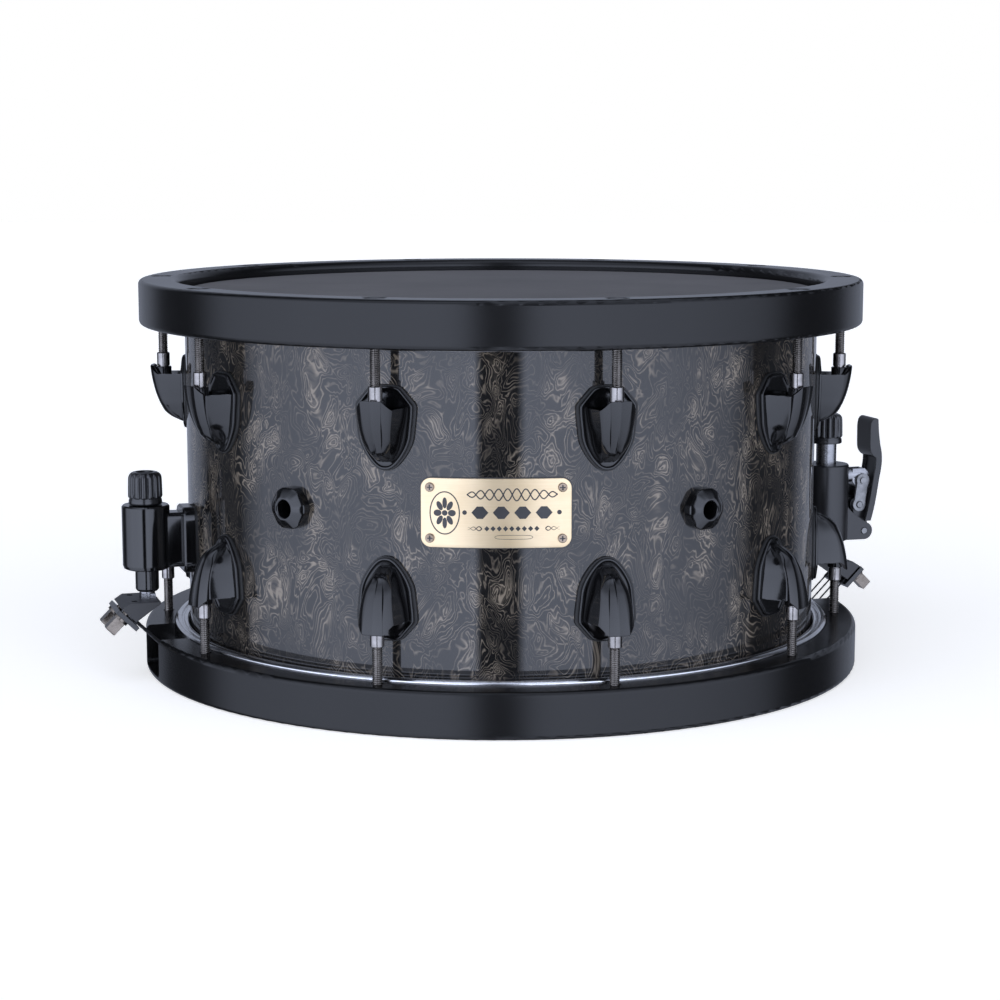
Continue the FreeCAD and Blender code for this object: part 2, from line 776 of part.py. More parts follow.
def vents():
    """Two faceted vent bolts, nose outside and tube through the shell."""
    base = number(shell_radius)
    height = vent_height()
    wide = number(size("vent_radius"))
    rise = number(size("vent_rise"))
    prism = Part.Face(hexagon(wide, base - 3.0, height)).extrude(FreeCAD.Vector(0, -(rise * 0.62 + 3.0), 0))
    prism = prism.cut(Part.makeCylinder(base, number(drum_height)))
    turned_face = rod(number(size("vent_turned")), at(0, base - 20.0, height), at(0, base + 20.0, height))
    nose = Part.makeLoft([hexagon(wide, base + rise * 0.62, height), hexagon(wide * 0.52, base + rise, height)], True, True)
    tube = rod(number(size("vent_tube")), at(0, base - 15.5, height), at(0, base + 2.0, height))
    bore = rod(number(size("vent_bore")), at(0, base - 20.0, height), at(0, base + 20.0, height))
    bolt = prism.fuse(nose).common(turned_face).fuse(tube).cut(bore).removeSplitter()
    angle = number(size("vent_angle"))
    return ring_of("vent_bolts", bolt, [-angle, angle])


def vent_nuts():
    base = number(shell_radius) - number(size("shell_wall"))
    height = vent_height()
    nut = Part.Face(hexagon(9.5, base - 5.0, height)).extrude(FreeCAD.Vector(0, -4.0, 0))
    washer = rod(9.0, at(0, base - 1.6, height), at(0, base - 0.45, height))
    bore = rod(number(size("vent_tube")) + 0.05, at(0, base - 10.0, height), at(0, base + 5.0, height))
    ring = nut.fuse(washer).cut(bore)
    angle = number(size("vent_angle"))
    return ring_of("vent_nuts", ring.removeSplitter(), [-angle, angle])


# ---------------------------------------------------------------- columns: shared pieces


def bracket_foot(bottom, top, half, column):
    """Neck and base plate that carry a column, drawn at the front and curved to the shell."""
    face = number(size("gasket_thickness") + size("foot_thickness"))
    base = number(shell_radius)
    axis = number(column_axis)
    saddle = Part.makeCylinder(base + number(size("gasket_thickness")), number(drum_height))
    plate = Part.makeBox(2 * half, face + 4.0, top - bottom, FreeCAD.Vector(-half, -(base + face), bottom))
    edges = [edge for edge in plate.Edges if abs(edge.Length - face - 4.0) < 0.01]
    plate = plate.makeFillet(6.5, edges)
    front = [edge for edge in plate.Edges if abs(edge.CenterOfMass.y + base + face) < 0.01]
    plate = plate.makeChamfer(0.9, front)
    neck = Part.makeBox(15.0, axis - base - 1.0, top - bottom - 6.0, FreeCAD.Vector(-7.5, -axis, bottom + 3.0))
    edges = [edge for edge in neck.Edges if abs(edge.Length - axis + base + 1.0) < 0.01]
    neck = neck.makeFillet(3.0, edges)
    return plate.cut(saddle).fuse([neck.cut(saddle), column]).removeSplitter()


def bracket_gasket(bottom, top, half, angle):
    base = number(shell_radius)
    tall = number(drum_height)
    spare = 0.5
    corner = FreeCAD.Vector(-half + spare, -(base + 6.0), bottom + spare)
    blank = Part.makeBox(2 * (half - spare), 12.0, top - bottom - 2 * spare, corner)
    edges = [edge for edge in blank.Edges if abs(edge.Length - 12.0) < 0.01]
    blank = blank.makeFillet(6.0, edges)
    skin = Part.makeCylinder(base + number(size("gasket_thickness")), tall).cut(Part.makeCylinder(base, tall))
    holes = [rod(2.3, at(0, base - 2.0, z), at(0, base + 5.0, z)) for a, z in bracket_screw_spots() if a == angle]
    gasket = blank.common(skin).cut(Part.makeCompound(holes))
    gasket.rotate(FreeCAD.Vector(0, 0, 0), FreeCAD.Vector(0, 0, 1), angle)
    return gasket


def foot_span(angle):
    """Bottom, top and half width of a bracket's base plate."""
    if angle == butt_angle:
        return number(size("butt_bottom")) - 2.2, number(size("butt_top")) - 1.5, 13.0
    return number(size("throwoff_bottom")) - 0.5, number(size("throwoff_top")) - 3.5, 14.0


def screw_bores(angle):
    base = number(shell_radius)
    radius = number(size("screw_hole_radius"))
    return [rod(radius, at(0, base - 1.0, z), at(0, base + 9.6, z)) for a, z in bracket_screw_spots() if a == angle]


def knob(label, bottom, angle):
    """Fluted knob with a domed crown and its tension screw."""
    radius = size("knob_radius")
    top = bottom + size("knob_height")
    screw = size("screw_rod_radius")
    body = revolved(
        label,
        [
            (0, bottom - 36.0),
            (screw - 0.6, bottom - 36.0),
            (screw, bottom - 35.4),
            (screw, bottom),
            (radius - 0.7, bottom),
            (radius - 0.3, bottom + 0.8),
            (radius - 0.4, bottom + 3.6),
            (radius, bottom + 4.2),
            (radius - 0.25, top - 2.6),
            (radius - 1.1, top - 1.0),
            (radius - 2.6, top - 0.2),
            (radius - 4.0, top),
            (0, top),
        ],
        angle,
        column_axis,
    )
    flute = primitive(
        body,
        "SubtractiveCylinder",
        (radius + 0.75, 0, bottom + 4.2),
        Radius=size("flute_radius"),
        Height=size("knob_height"),
    )
    ring = body.newObject("PartDesign::PolarPattern", f"{label}_flutes")
    ring.Originals = [flute]
    ring.Axis = (plane(body, "Z_Axis"), [""])
    ring.Angle = 360.0
    bind(ring, "Occurrences", size("flute_count"))
    body.Tip = ring
    return body


def stem(label, angle, top):
    """Steel stem: round and tapped above, square where it enters the clamp block."""
    bottom = size("clamp_top") - 2.0
    shoulder = size("sleeve_bottom") - 1.4
    radius = size("stem_radius")
    body = revolved(
        label,
        [
            (0, shoulder - 2.0),
            (radius, shoulder - 2.0),
            (radius, top),
            (size("screw_rod_bore"), top),
            (size("screw_rod_bore"), shoulder + 1.0),
            (0, shoulder + 1.0),
        ],
        angle,
        column_axis,
    )
    half = size("stem_square") / 2
    primitive(
        body,
        "AdditiveBox",
        (-half, -half, bottom),
        Length=size("stem_square"),
        Width=size("stem_square"),
        Height=shoulder - bottom,
    )
    return body


def clamp_line():
    """Slanted face of the clamp: its upper and lower corner, as distance from the axis and height."""
    upper = (column_axis + 16.4, size("clamp_top") - 2.8)
    lower = (column_axis + 8.6, size("clamp_top") - 10.6)
    return upper, lower


def clamp_block(label, angle):
    """Wedge under the stem with a slanted face for the cords."""
    upper, lower = clamp_line()
    top = size("clamp_top")
    block = slab(
        label,
        [(column_axis - 5.0, top), (column_axis + 12.0, top), upper, lower, (column_axis - 5.0, top - 1.0)],
        size("clamp_width"),
        angle,
    )
    half = size("stem_square") / 2 + 0.05
    primitive(
        block,
        "SubtractiveBox",
        (-half, -(column_axis + half), top - 2.05),
        Length=2 * half,
        Width=2 * half,
        Height=3.0,
    )
    for spot in bolt_spots():
        primitive(
            block,
            "SubtractiveCylinder",
            (spot, -(bolt_root()[0] - 6.0), bolt_root()[1] + 6.0),
            FreeCAD.Rotation(FreeCAD.Vector(1, 0, 0), 135),
            Radius=size("bolt_radius") + 0.05,
            Height=8.6,
        )
    return block


def bolt_spots():
    half = size("bolt_spacing") / 2
    return [-half, half]


def bolt_root():
    """Where a bolt's axis crosses the slanted face."""
    upper, lower = clamp_line()
    return upper[0] - 3.2, upper[1] - 3.2


def clamp_jaw(label, angle):
    """Plate that the two bolts press against the cords."""
    upper, lower = clamp_line()
    gap = size("cord_thickness") * 0.7071 + 0.1
    thick = size("jaw_thickness") * 0.7071
    inner_top = (upper[0] + gap + 0.3, upper[1] - gap + 0.3)
    inner_low = (lower[0] + gap - 2.4, lower[1] - gap - 2.4)
    jaw = slab(
        label,
        [
            inner_top,
            inner_low,
            (inner_low[0] + thick, inner_low[1] - thick),
            (inner_top[0] + thick, inner_top[1] - thick),
        ],
        size("clamp_width"),
        angle,
    )
    for spot in bolt_spots():
        primitive(
            jaw,
            "SubtractiveCylinder",
            (spot, -bolt_root()[0], bolt_root()[1]),
            FreeCAD.Rotation(FreeCAD.Vector(1, 0, 0), 135),
            Radius=size("bolt_radius") + 0.15,
            Height=6.0,
        )
    return jaw


def clamp_bolts(label, angle):
    """Two key bolts with square heads and round flanges."""
    root_r, root_z = (number(value) for value in bolt_root())
    way = FreeCAD.Vector(0, -math.sqrt(0.5), -math.sqrt(0.5))
    square = number(size("bolt_square"))
    tall = number(size("bolt_head"))
    lift = number(size("cord_thickness")) + 0.1 * math.sqrt(2.0) + number(size("jaw_thickness"))
    bolts = []
    for spot in bolt_spots():
        foot = at(number(spot), root_r, root_z)
        shaft = rod(number(size("bolt_radius")), foot - way * 5.5, foot + way * (lift + 1.0))
        collar = rod(4.7, foot + way * lift, foot + way * (lift + 1.6))
        key = Part.makeBox(square, square, tall, FreeCAD.Vector(-square / 2, -square / 2, 0))
        key = key.makeFillet(0.6, [edge for edge in key.Edges if abs(edge.CenterOfMass.z - tall) < 0.01])
        key.Placement = FreeCAD.Placement(foot + way * (lift + 1.4), FreeCAD.Rotation(FreeCAD.Vector(1, 0, 0), 135))
        bolts.append(shaft.fuse([collar, key]).removeSplitter())
    return feature(label, Part.makeCompound([s for bolt in bolts for s in bolt.Solids]), angle)


# ---------------------------------------------------------------- butt end


def butt_housing():
    """Column with its sleeve, neck and base plate."""
    bottom = size("butt_bottom")
    top = size("butt_top")
    radius = size("column_radius")
    column = revolved(
        "butt_column",
        [
            (size("stem_bore"), size("sleeve_bottom")),
            (size("sleeve_radius") - 0.9, size("sleeve_bottom")),
            (size("sleeve_radius"), size("sleeve_bottom") + 1.2),
            (size("sleeve_radius"), bottom),
            (radius - 2.0, bottom),
            (radius - 0.6, bottom + 0.7),
            (radius, bottom + 2.4),
            (radius, top - 0.8),
            (radius - 0.8, top),
            (size("screw_rod_bore"), top),
            (size("screw_rod_bore"), top - 6.0),
            (size("stem_bore"), top - 6.0),
        ],
        out=column_axis,
    )
    doc.recompute()
    axis = number(column_axis)
    bore = rod(number(size("stem_bore")), at(0, axis, number(bottom) - 9.0), at(0, axis, number(top) - 6.0))
    screw = rod(number(size("screw_rod_bore")), at(0, axis, number(bottom)), at(0, axis, number(top) + 1.0))
    blank = bracket_foot(*foot_span(butt_angle), column.Shape).cut(screw)
    return feature("butt_housing", blank.cut(Part.makeCompound([bore] + screw_bores(butt_angle))), butt_angle)


# ---------------------------------------------------------------- throw-off


ARM_RISE = 3.2


def linkage_points():
    """Lever pivot, link pin and post pin at rest, as distance from the axis and height."""
    lean = math.radians(number(size("crank_lean")))
    pivot = (number(column_axis + size("pivot_reach")), number(size("pivot_height")))
    crank = number(size("crank"))
    pin = (pivot[0] + crank * math.sin(lean), pivot[1] + crank * math.cos(lean))
    post_out = number(column_axis + size("post_reach"))
    rise = math.sqrt(number(size("link_length")) ** 2 - (post_out - pin[0]) ** 2)
    return pivot, pin, (post_out, pin[1] + rise)


def throwoff_housing():
    """Column with the slot for the post, and two ears that hold the lever's pivot."""
    bottom = number(size("throwoff_bottom"))
    top = number(size("throwoff_top"))
    radius = number(size("throwoff_radius"))
    axis = number(column_axis)
    pivot, pin, post = linkage_points()
    column = rod(radius, at(0, axis, bottom), at(0, axis, top))
    column = column.makeChamfer(0.7, rims(column))
    ears = [ear(side, pivot) for side in (-1, 1)]
    blank = bracket_foot(*foot_span(snare_angle), column).fuse(ears)
    bore = rod(number(size("tube_bore")), at(0, axis, bottom - 1.0), at(0, axis, top + 1.0))
    arm = post[1] + ARM_RISE
    slot = Part.makeBox(9.8, 20.0, 18.6, FreeCAD.Vector(-4.9, -(axis + 20.0), arm - 13.5))
    pin_hole = rod(number(size("pin_radius")), at(-12, *pivot), at(12, *pivot))
    cuts = [bore, slot, pin_hole] + screw_bores(snare_angle)
    blank = blank.cut(Part.makeCompound(cuts))
    return feature("throwoff_housing", blank.removeSplitter(), snare_angle)


def ear(side, pivot):
    """One bracket ear, running down and out from the column to the pivot."""
    axis = number(column_axis)
    thick = number(size("ear_thickness"))
    low = number(size("throwoff_bottom"))
    radius = number(size("ear_radius"))
    start = 4.8 if side > 0 else -4.8 - thick
    web = [
        (axis + 2.0, low),
        (pivot[0], pivot[1] - radius),
        (pivot[0] + radius * 0.34, pivot[1] + radius * 0.94),
        (axis + 15.5, pivot[1] + 10.7),
        (axis + 11.0, pivot[1] + 15.4),
        (axis + 9.4, pivot[1] + 28.0),
        (axis + 2.0, pivot[1] + 28.0),
    ]
    plate = plate_face([at(start, r, z) for r, z in web]).extrude(FreeCAD.Vector(thick, 0, 0))
    knuckle = rod(radius, at(start, *pivot), at(start + thick, *pivot))
    return plate.fuse(knuckle)


# Back of the lever from toe to crown, as distance outside the column axis and height.
LEVER_BACK = [
    (25.9, 67.3),
    (28.4, 77.5),
    (30.9, 92.9),
    (32.3, 104.0),
    (31.2, 112.0),
    (30.0, 120.2),
    (29.5, 127.2),
]


def lever_skin(start, width, thick, first=0, last=len(LEVER_BACK)):
    """Plate that follows the lever's back, from one station to another."""
    base = number(column_axis)
    stations = LEVER_BACK[first:last]
    curves = []
    for inwards in (0.0, thick):
        curve = Part.BSplineCurve()
        curve.interpolate([at(start, base + r - inwards, z) for r, z in stations])
        curves.append(curve.toShape())
    ends = [
        Part.makeLine(at(start, base + r, z), at(start, base + r - thick, z)) for r, z in (stations[0], stations[-1])
    ]
    wire = Part.Wire(Part.__sortEdges__(curves + ends))
    return Part.Face(wire).extrude(FreeCAD.Vector(width, 0, 0))


def lever_paddle():
    """Thick thumb pad on the inner side of the lever's upper end."""
    base = number(column_axis)
    half = 9.0
    stations = [
        (30.4, 104.6),
        (26.9, 106.0),
        (25.0, 108.6),
        (24.4, 112.5),
        (24.3, 120.0),
        (24.5, 125.0),
        (25.6, 127.8),
        (27.6, 128.8),
        (29.2, 128.3),
        (29.5, 127.2),
    ]
    crown = Part.BSplineCurve()
    crown.interpolate([at(-half, base + r, z) for r, z in stations])
    back = Part.makePolygon([at(-half, base + r, z) for r, z in [stations[-1], (29.9, 120.2), (31.0, 112.0), stations[0]]])
    wire = Part.Wire(Part.__sortEdges__([crown.toShape()] + back.Edges))
    pad = Part.Face(wire).extrude(FreeCAD.Vector(2 * half, 0, 0))
    return pad


def lever():
    """Cast lever: curved back with lipped edges, thumb pad, and a pair of ribs on the pivot and link pins."""
    pivot, pin, post = linkage_points()
    back = lever_skin(-9.0, 18.0, 2.4)
    lips = [lever_skin(start, 1.3, 3.8, 0, 5) for start in (-9.0, 7.7)]
    shape = back.fuse(lips + [lever_paddle()] + [cheek(side) for side in (-1, 1)])
    holes = [rod(number(size("pin_radius")), at(-12, *pin), at(12, *pin))]
    holes.append(rod(number(size("pin_hole_radius")), at(-12, *pivot), at(12, *pivot)))
    return feature("throwoff_lever", shape.cut(Part.makeCompound(holes)).removeSplitter(), snare_angle)


def cheek(side):
    """Inner rib from the lever's back to the pivot and link pins."""
    pivot, pin, post = linkage_points()
    base = number(column_axis)
    thick = number(size("rib_thickness"))
    start = 4.3 - thick if side > 0 else -4.3
    web = [
        (base + 28.6, 88.0),
        (base + 27.6, 77.5),
        (base + 25.2, 67.6),
        (pivot[0] + 4.2, pivot[1] + 1.0),
        (pivot[0] - 4.2, pivot[1] + 1.0),
        (pin[0] - 3.9, pin[1] - 1.0),
        (pin[0] - 2.2, pin[1] + 3.3),
        (pin[0] + 1.0, pin[1] + 4.0),
    ]
    plate = plate_face([at(start, r, z) for r, z in web]).extrude(FreeCAD.Vector(thick, 0, 0))
    eyes = [rod(4.4, at(start, *pivot), at(start + thick, *pivot)), rod(4.0, at(start, *pin), at(start + thick, *pin))]
    return plate.fuse(eyes)


def pin_piece(label, spot, half):
    """Headed steel pin across the lever."""
    radius = number(size("pin_radius"))
    shaft = rod(radius, at(-half, *spot), at(half, *spot))
    return feature(label, shaft.makeChamfer(0.3, rims(shaft)), snare_angle)


def links():
    """Two steel link plates, either side of the post."""
    pivot, pin, post = linkage_points()
    half = number(size("link_half"))
    thick = number(size("link_thickness"))
    plates = []
    lean = FreeCAD.Vector(0, -(post[0] - pin[0]), post[1] - pin[1])
    across = FreeCAD.Vector(0, lean.z, -lean.y) * (half * 0.86 / lean.Length)
    for start in (4.6, -4.6 - thick):
        low, high = at(start, *pin), at(start, *post)
        bar = plate_face([low + across, high + across, high - across, low - across])
        bar = bar.extrude(FreeCAD.Vector(thick, 0, 0))
        eyes = [rod(half, spot, spot + FreeCAD.Vector(thick, 0, 0)) for spot in (low, high)]
        hole = rod(number(size("pin_hole_radius")), at(-12, *pin), at(12, *pin))
        rivet = rod(number(size("pin_radius")), at(-12, *post), at(12, *post))
        plates.append(bar.fuse(eyes).cut(hole).cut(rivet))
    return feature("link_plates", Part.makeCompound([s for plate in plates for s in plate.Solids]), snare_angle)


def link_rivets():
    """Rivet studs at the links' upper ends, flush with the post's sides."""
    pivot, pin, post = linkage_points()
    radius = number(size("pin_radius"))
    studs = []
    for start, end in ((4.62, 6.7), (-4.62, -6.7)):
        stud = rod(radius, at(start, *post), at(end, *post))
        studs.append(stud)
    return feature("link_rivets", Part.makeCompound(studs), snare_angle)


def carriage():
    """Steel tube with the post that the links pull."""
    pivot, pin, post = linkage_points()
    axis = number(column_axis)
    radius = number(size("tube_radius"))
    top = number(size("tube_top"))
    tube = rod(radius, at(0, axis, number(size("sleeve_bottom"))), at(0, axis, top))
    height = post[1] + ARM_RISE
    arm = rod(number(size("boss_radius")), at(0, axis + 2.0, height), at(0, post[0] - 1.0, height))
    half = number(size("boss_half"))
    web = [
        (post[0] - 6.2, height + 3.9),
        (post[0] + 1.6, height + 3.9),
        (post[0] + 4.0, height + 1.6),
        (post[0] + 4.0, post[1] - 2.0),
        (post[0] + 1.8, post[1] - 4.0),
        (post[0] - 3.6, post[1] - 4.0),
        (post[0] - 6.2, post[1] - 0.6),
    ]
    end = plate_face([at(-half, r, z) for r, z in web]).extrude(FreeCAD.Vector(2 * half, 0, 0))
    bore = rod(number(size("stem_bore")), at(0, axis, 30.0), at(0, axis, top - 10.0))
    screw = rod(number(size("screw_rod_bore")), at(0, axis, 30.0), at(0, axis, top + 5.0))
    shape = tube.fuse([arm, end]).cut(Part.makeCompound([bore])).cut(screw)
    return feature("throwoff_carriage", shape.removeSplitter(), snare_angle)


# ---------------------------------------------------------------- snares


def snare_wires():
    """Coiled wires as slim rods, with the plate soldered to each end."""
    reach = number(size("plate_reach"))
    length = number(size("plate_length"))
    level_z = number(size("wire_level"))
    radius = number(size("wire_radius"))
    count = int(number(size("wire_count")))
    step = number(size("wire_pitch"))
    wires = []
    for k in range(count):
        across = (k - (count - 1) / 2) * step
        wires.append(rod(radius, at(across, -reach + length, level_z), at(across, reach - length, level_z)))
    return feature("snare_wires", Part.makeCompound(wires), snare_angle)


def snare_plates():
    reach = number(size("plate_reach"))
    length = number(size("plate_length"))
    wide = number(size("wire_pitch")) * number(size("wire_count")) + 2.0
    floor = number(size("cord_level")) + number(size("cord_thickness")) + 0.02
    tall = number(head_level) - 0.08 - floor
    plates = []
    for side in (-1, 1):
        start = -reach if side > 0 else reach - length
        plates.append(Part.makeBox(wide, length, tall, FreeCAD.Vector(-wide / 2, start, floor)))
    return feature("snare_end_plates", Part.makeCompound(plates), snare_angle)


def cord_shapes(angle):
    """Four cords: flat under the head, then slanting up through the gate into the clamp."""
    upper, lower = clamp_line()
    thick = size("cord_thickness")
    floor = size("cord_level")
    slack = 0.05
    foot = lower[1] - floor
    top = (lower[0] + slack + 2.2, lower[1] - slack + 2.2)
    low = lower[0] + slack - foot
    thin = thick * 0.7071
    start = size("plate_reach") - size("plate_length")
    points = [
        (start, floor),
        (low + 2 * thin, floor),
        (top[0] + thin, top[1] - thin),
        top,
        (low + thick, floor + thick),
        (start, floor + thick),
    ]
    count = int(number(size("cord_count")))
    cords = []
    for k in range(count):
        across = size("cord_pitch") * (k - (count - 1) / 2)
        cords.append(slab(f"cord_{k}", points, thick, angle, across))
    doc.recompute()
    return Part.makeCompound([solid for cord in cords for solid in cord.Shape.Solids])


# ---------------------------------------------------------------- assembly


def build():
    export("shell", shell())
    export("batter_head", head("batter_head", True))
    export("batter_flesh_hoop", flesh_hoop("batter_flesh_hoop", True))
    export("batter_hoop", hoop("batter_hoop", True))
    export("snare_side_head", head("snare_side_head", False))
    export("snare_side_flesh_hoop", flesh_hoop("snare_side_flesh_hoop", False))
    export("snare_side_hoop", hoop("snare_side_hoop", False))
    cast = lug()
    export("upper_lugs", ring_of("upper_lugs", cast, rod_angles))
    export("lower_lugs", ring_of("lower_lugs", flipped(cast), rod_angles))
    export("lug_gaskets", ring_of("lug_gaskets", lug_gasket(), rod_angles, both_ends=True))
    export("swivel_nuts", ring_of("swivel_nuts", swivel_nut(), rod_angles, both_ends=True))
    export("hoop_inserts", ring_of("hoop_inserts", insert_cup(), rod_angles, both_ends=True))
    export("mounting_screws", all_mounting_screws())
    for k, angle in enumerate(rod_angles, start=1):
        export(f"tension_rod_upper_{k:02d}", tension_rod(f"tension_rod_upper_{k:02d}", angle, True))
        export(f"tension_rod_lower_{k:02d}", tension_rod(f"tension_rod_lower_{k:02d}", angle, False))
    export("badge_plate", badge())
    export("badge_screws", badge_screws())
    export("vent_bolts", vents())
    export("vent_nuts", vent_nuts())
    export("bracket_gaskets", bracket_gaskets())
    build_butt()
    build_throwoff()
    export("snare_wires", snare_wires())
    export("snare_end_plates", snare_plates())
    for end, angle in (("throwoff", snare_angle), ("butt", butt_angle)):
        export(f"{end}_cords", feature(f"{end}_cords", cord_shapes(angle)))


def all_mounting_screws():
    pieces = []
    for angle in rod_angles:
        screw = mounting_screw(lug_screw_height(), 5.2)
        screw.rotate(FreeCAD.Vector(0, 0, 0), FreeCAD.Vector(0, 0, 1), angle)
        pieces += [screw, flipped(screw)]
    for angle, height in bracket_screw_spots():
        screw = mounting_screw(height, 9.2)
        screw.rotate(FreeCAD.Vector(0, 0, 0), FreeCAD.Vector(0, 0, 1), angle)
        pieces.append(screw)
    return feature("mounting_screws", Part.makeCompound([s for piece in pieces for s in piece.Solids]))


def bracket_gaskets():
    butt = bracket_gasket(*foot_span(butt_angle), butt_angle)
    throwoff = bracket_gasket(*foot_span(snare_angle), snare_angle)
    return feature("bracket_gaskets", Part.makeCompound(butt.Solids + throwoff.Solids))


def build_butt():
    export("butt_housing", butt_housing())
    export("butt_knob", knob("butt_knob", size("butt_top") + 0.3, butt_angle))
    export("butt_stem", stem("butt_stem", butt_angle, size("butt_top") - 9.0))
    export("butt_clamp_block", clamp_block("butt_clamp_block", butt_angle))
    export("butt_clamp_jaw", clamp_jaw("butt_clamp_jaw", butt_angle))
    export("butt_clamp_bolts", clamp_bolts("butt_clamp_bolts", butt_angle))


def build_throwoff():
    pivot, pin, post = linkage_points()
    export("throwoff_housing", throwoff_housing())
    export("throwoff_carriage", carriage())
    export("throwoff_lever", lever())
    export("lever_pivot_pin", pin_piece("lever_pivot_pin", pivot, 7.6))
    export("lever_link_pin", pin_piece("lever_link_pin", pin, 6.7))
    export("link_plates", links())
    export("link_rivets", link_rivets())
    export("throwoff_knob", knob("throwoff_knob", size("tube_top") + 0.1, snare_angle))
    export("throwoff_stem", stem("throwoff_stem", snare_angle, size("tube_top") - 14.0))
    export("throwoff_clamp_block", clamp_block("throwoff_clamp_block", snare_angle))
    export("throwoff_clamp_jaw", clamp_jaw("throwoff_clamp_jaw", snare_angle))
    export("throwoff_clamp_bolts", clamp_bolts("throwoff_clamp_bolts", snare_angle))


def write_parts():
    """Check every object and write one STEP file per node."""
    doc.recompute()
    faults = []
    for item in doc.Objects:
        if "Invalid" in item.State or "Error" in item.State:
            faults.append(f"{item.Label}: {item.State}")
    for node, item in exported:
        shape = item.Shape
        if shape.isNull() or not shape.isValid():
            faults.append(f"{node}: bad shape")
    if faults:
        raise RuntimeError("; ".join(faults))
    for node, item in exported:
        item.Shape.exportStep(f"parts/{node}.step")
        box = item.Shape.BoundBox
        print(f"{node:26s} solids {len(item.Shape.Solids):3d}  z {box.ZMin:8.2f} .. {box.ZMax:8.2f}")


build()
write_parts()
print(len(exported), "nodes")
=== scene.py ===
"""Snare drum, 14 x 8 in: figured veneer shell, satin black wooden hoops, gloss black lugs, bright key rods."""
import math
import bpy
import numpy as np
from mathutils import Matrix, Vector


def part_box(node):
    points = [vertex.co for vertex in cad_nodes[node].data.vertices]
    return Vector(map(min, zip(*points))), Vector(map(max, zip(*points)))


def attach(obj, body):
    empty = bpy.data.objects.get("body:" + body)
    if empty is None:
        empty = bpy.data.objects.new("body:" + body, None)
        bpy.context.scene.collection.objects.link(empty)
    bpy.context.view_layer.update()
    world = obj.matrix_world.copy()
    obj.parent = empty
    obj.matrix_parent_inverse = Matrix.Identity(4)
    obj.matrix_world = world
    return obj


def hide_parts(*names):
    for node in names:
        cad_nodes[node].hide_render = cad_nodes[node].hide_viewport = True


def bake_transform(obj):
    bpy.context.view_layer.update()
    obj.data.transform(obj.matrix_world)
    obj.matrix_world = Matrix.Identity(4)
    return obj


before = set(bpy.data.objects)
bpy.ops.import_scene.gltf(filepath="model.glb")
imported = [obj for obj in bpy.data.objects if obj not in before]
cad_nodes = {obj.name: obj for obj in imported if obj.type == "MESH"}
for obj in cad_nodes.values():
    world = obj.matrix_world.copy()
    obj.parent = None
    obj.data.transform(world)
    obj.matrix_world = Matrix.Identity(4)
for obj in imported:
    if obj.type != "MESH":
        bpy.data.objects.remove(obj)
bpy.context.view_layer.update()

# --------------------------------------------------------------------------------------------------
# Table, studio and camera. A pale table top under two long soft boxes, one each side of the camera, with a narrow
# unlit gap between them, and a pale wall behind.

scene = bpy.context.scene
scene.view_settings.view_transform = "Standard"

FLOOR_SIZE = 14.0
floor_mesh = bpy.data.meshes.new("table_top")
half = FLOOR_SIZE / 2
floor_mesh.from_pydata([(-half, -half, 0), (half, -half, 0), (half, half, 0), (-half, half, 0)], [], [(0, 1, 2, 3)])
floor = bpy.data.objects.new("table_top", floor_mesh)
scene.collection.objects.link(floor)
floor.visible_glossy = False


def new_material(name):
    """Empty node tree with an output, and the short ways to add and join nodes that every finish below uses."""
    material = bpy.data.materials.new(name)
    material.use_nodes = True
    tree = material.node_tree
    tree.nodes.clear()
    return material, tree, tree.nodes.new("ShaderNodeOutputMaterial")


def node(tree, kind, settings=None, **sockets):
    """Node of that kind. Settings are its own properties; a socket takes a number, a colour or another socket."""
    made = tree.nodes.new(kind)
    for name, value in (settings or {}).items():
        setattr(made, name, value)
    for name, value in sockets.items():
        key = int(name[1:]) if name[0] == "s" and name[1:].isdigit() else name.replace("_", " ")
        socket = made.inputs[key]
        if isinstance(value, bpy.types.NodeSocket):
            tree.links.new(value, socket)
        else:
            socket.default_value = value
    return made


def noise(tree, place, scale, detail, rough=0.5, space="3D"):
    made = node(tree, "ShaderNodeTexNoise", {"noise_dimensions": space}, Vector=place, Scale=scale, Detail=detail)
    made.inputs["Roughness"].default_value = rough
    return made


def relief(tree, height, strength, distance):
    return node(tree, "ShaderNodeBump", Strength=strength, Distance=distance, Height=height)


def vector_math(tree, operation, *values):
    sockets = {f"s{k}": value for k, value in enumerate(values)}
    return node(tree, "ShaderNodeVectorMath", {"operation": operation}, **sockets).outputs[0]


def math_node(tree, operation, first, second=0.0, third=0.0, clamp=False):
    made = node(tree, "ShaderNodeMath", {"operation": operation, "use_clamp": clamp}, s0=first, s1=second, s2=third)
    return made.outputs[0]


def mixture(tree, first, share, second):
    """Two noises added, the first with that share."""
    rest = math_node(tree, "MULTIPLY", second.outputs[0], 1 - share)
    return math_node(tree, "MULTIPLY_ADD", first.outputs[0], share, rest)


def smooth_step(tree, value, low, high):
    kind = {"interpolation_type": "SMOOTHSTEP"}
    return node(tree, "ShaderNodeMapRange", kind, Value=value, From_Min=low, From_Max=high).outputs[0]


def surface(tree, out, shade, rough, bump, **constants):
    """Surface from its colour, roughness and bump; the constants are set on the shader's own sockets."""
    skin = node(tree, "ShaderNodeBsdfPrincipled", Base_Color=shade, Roughness=rough, **constants)
    tree.links.new(bump.outputs[0], skin.inputs["Normal"])
    tree.links.new(skin.outputs[0], out.inputs[0])
    return skin


def ramp(tree, value, stops):
    """Colour ramp from (place, colour) stops."""
    made = node(tree, "ShaderNodeValToRGB", s0=value)
    band = made.color_ramp
    while len(band.elements) < len(stops):
        band.elements.new(0.5)
    for element, (place, colour) in zip(band.elements, stops):
        element.position = place
        element.color = (*colour, 1.0)
    return made.outputs[0]


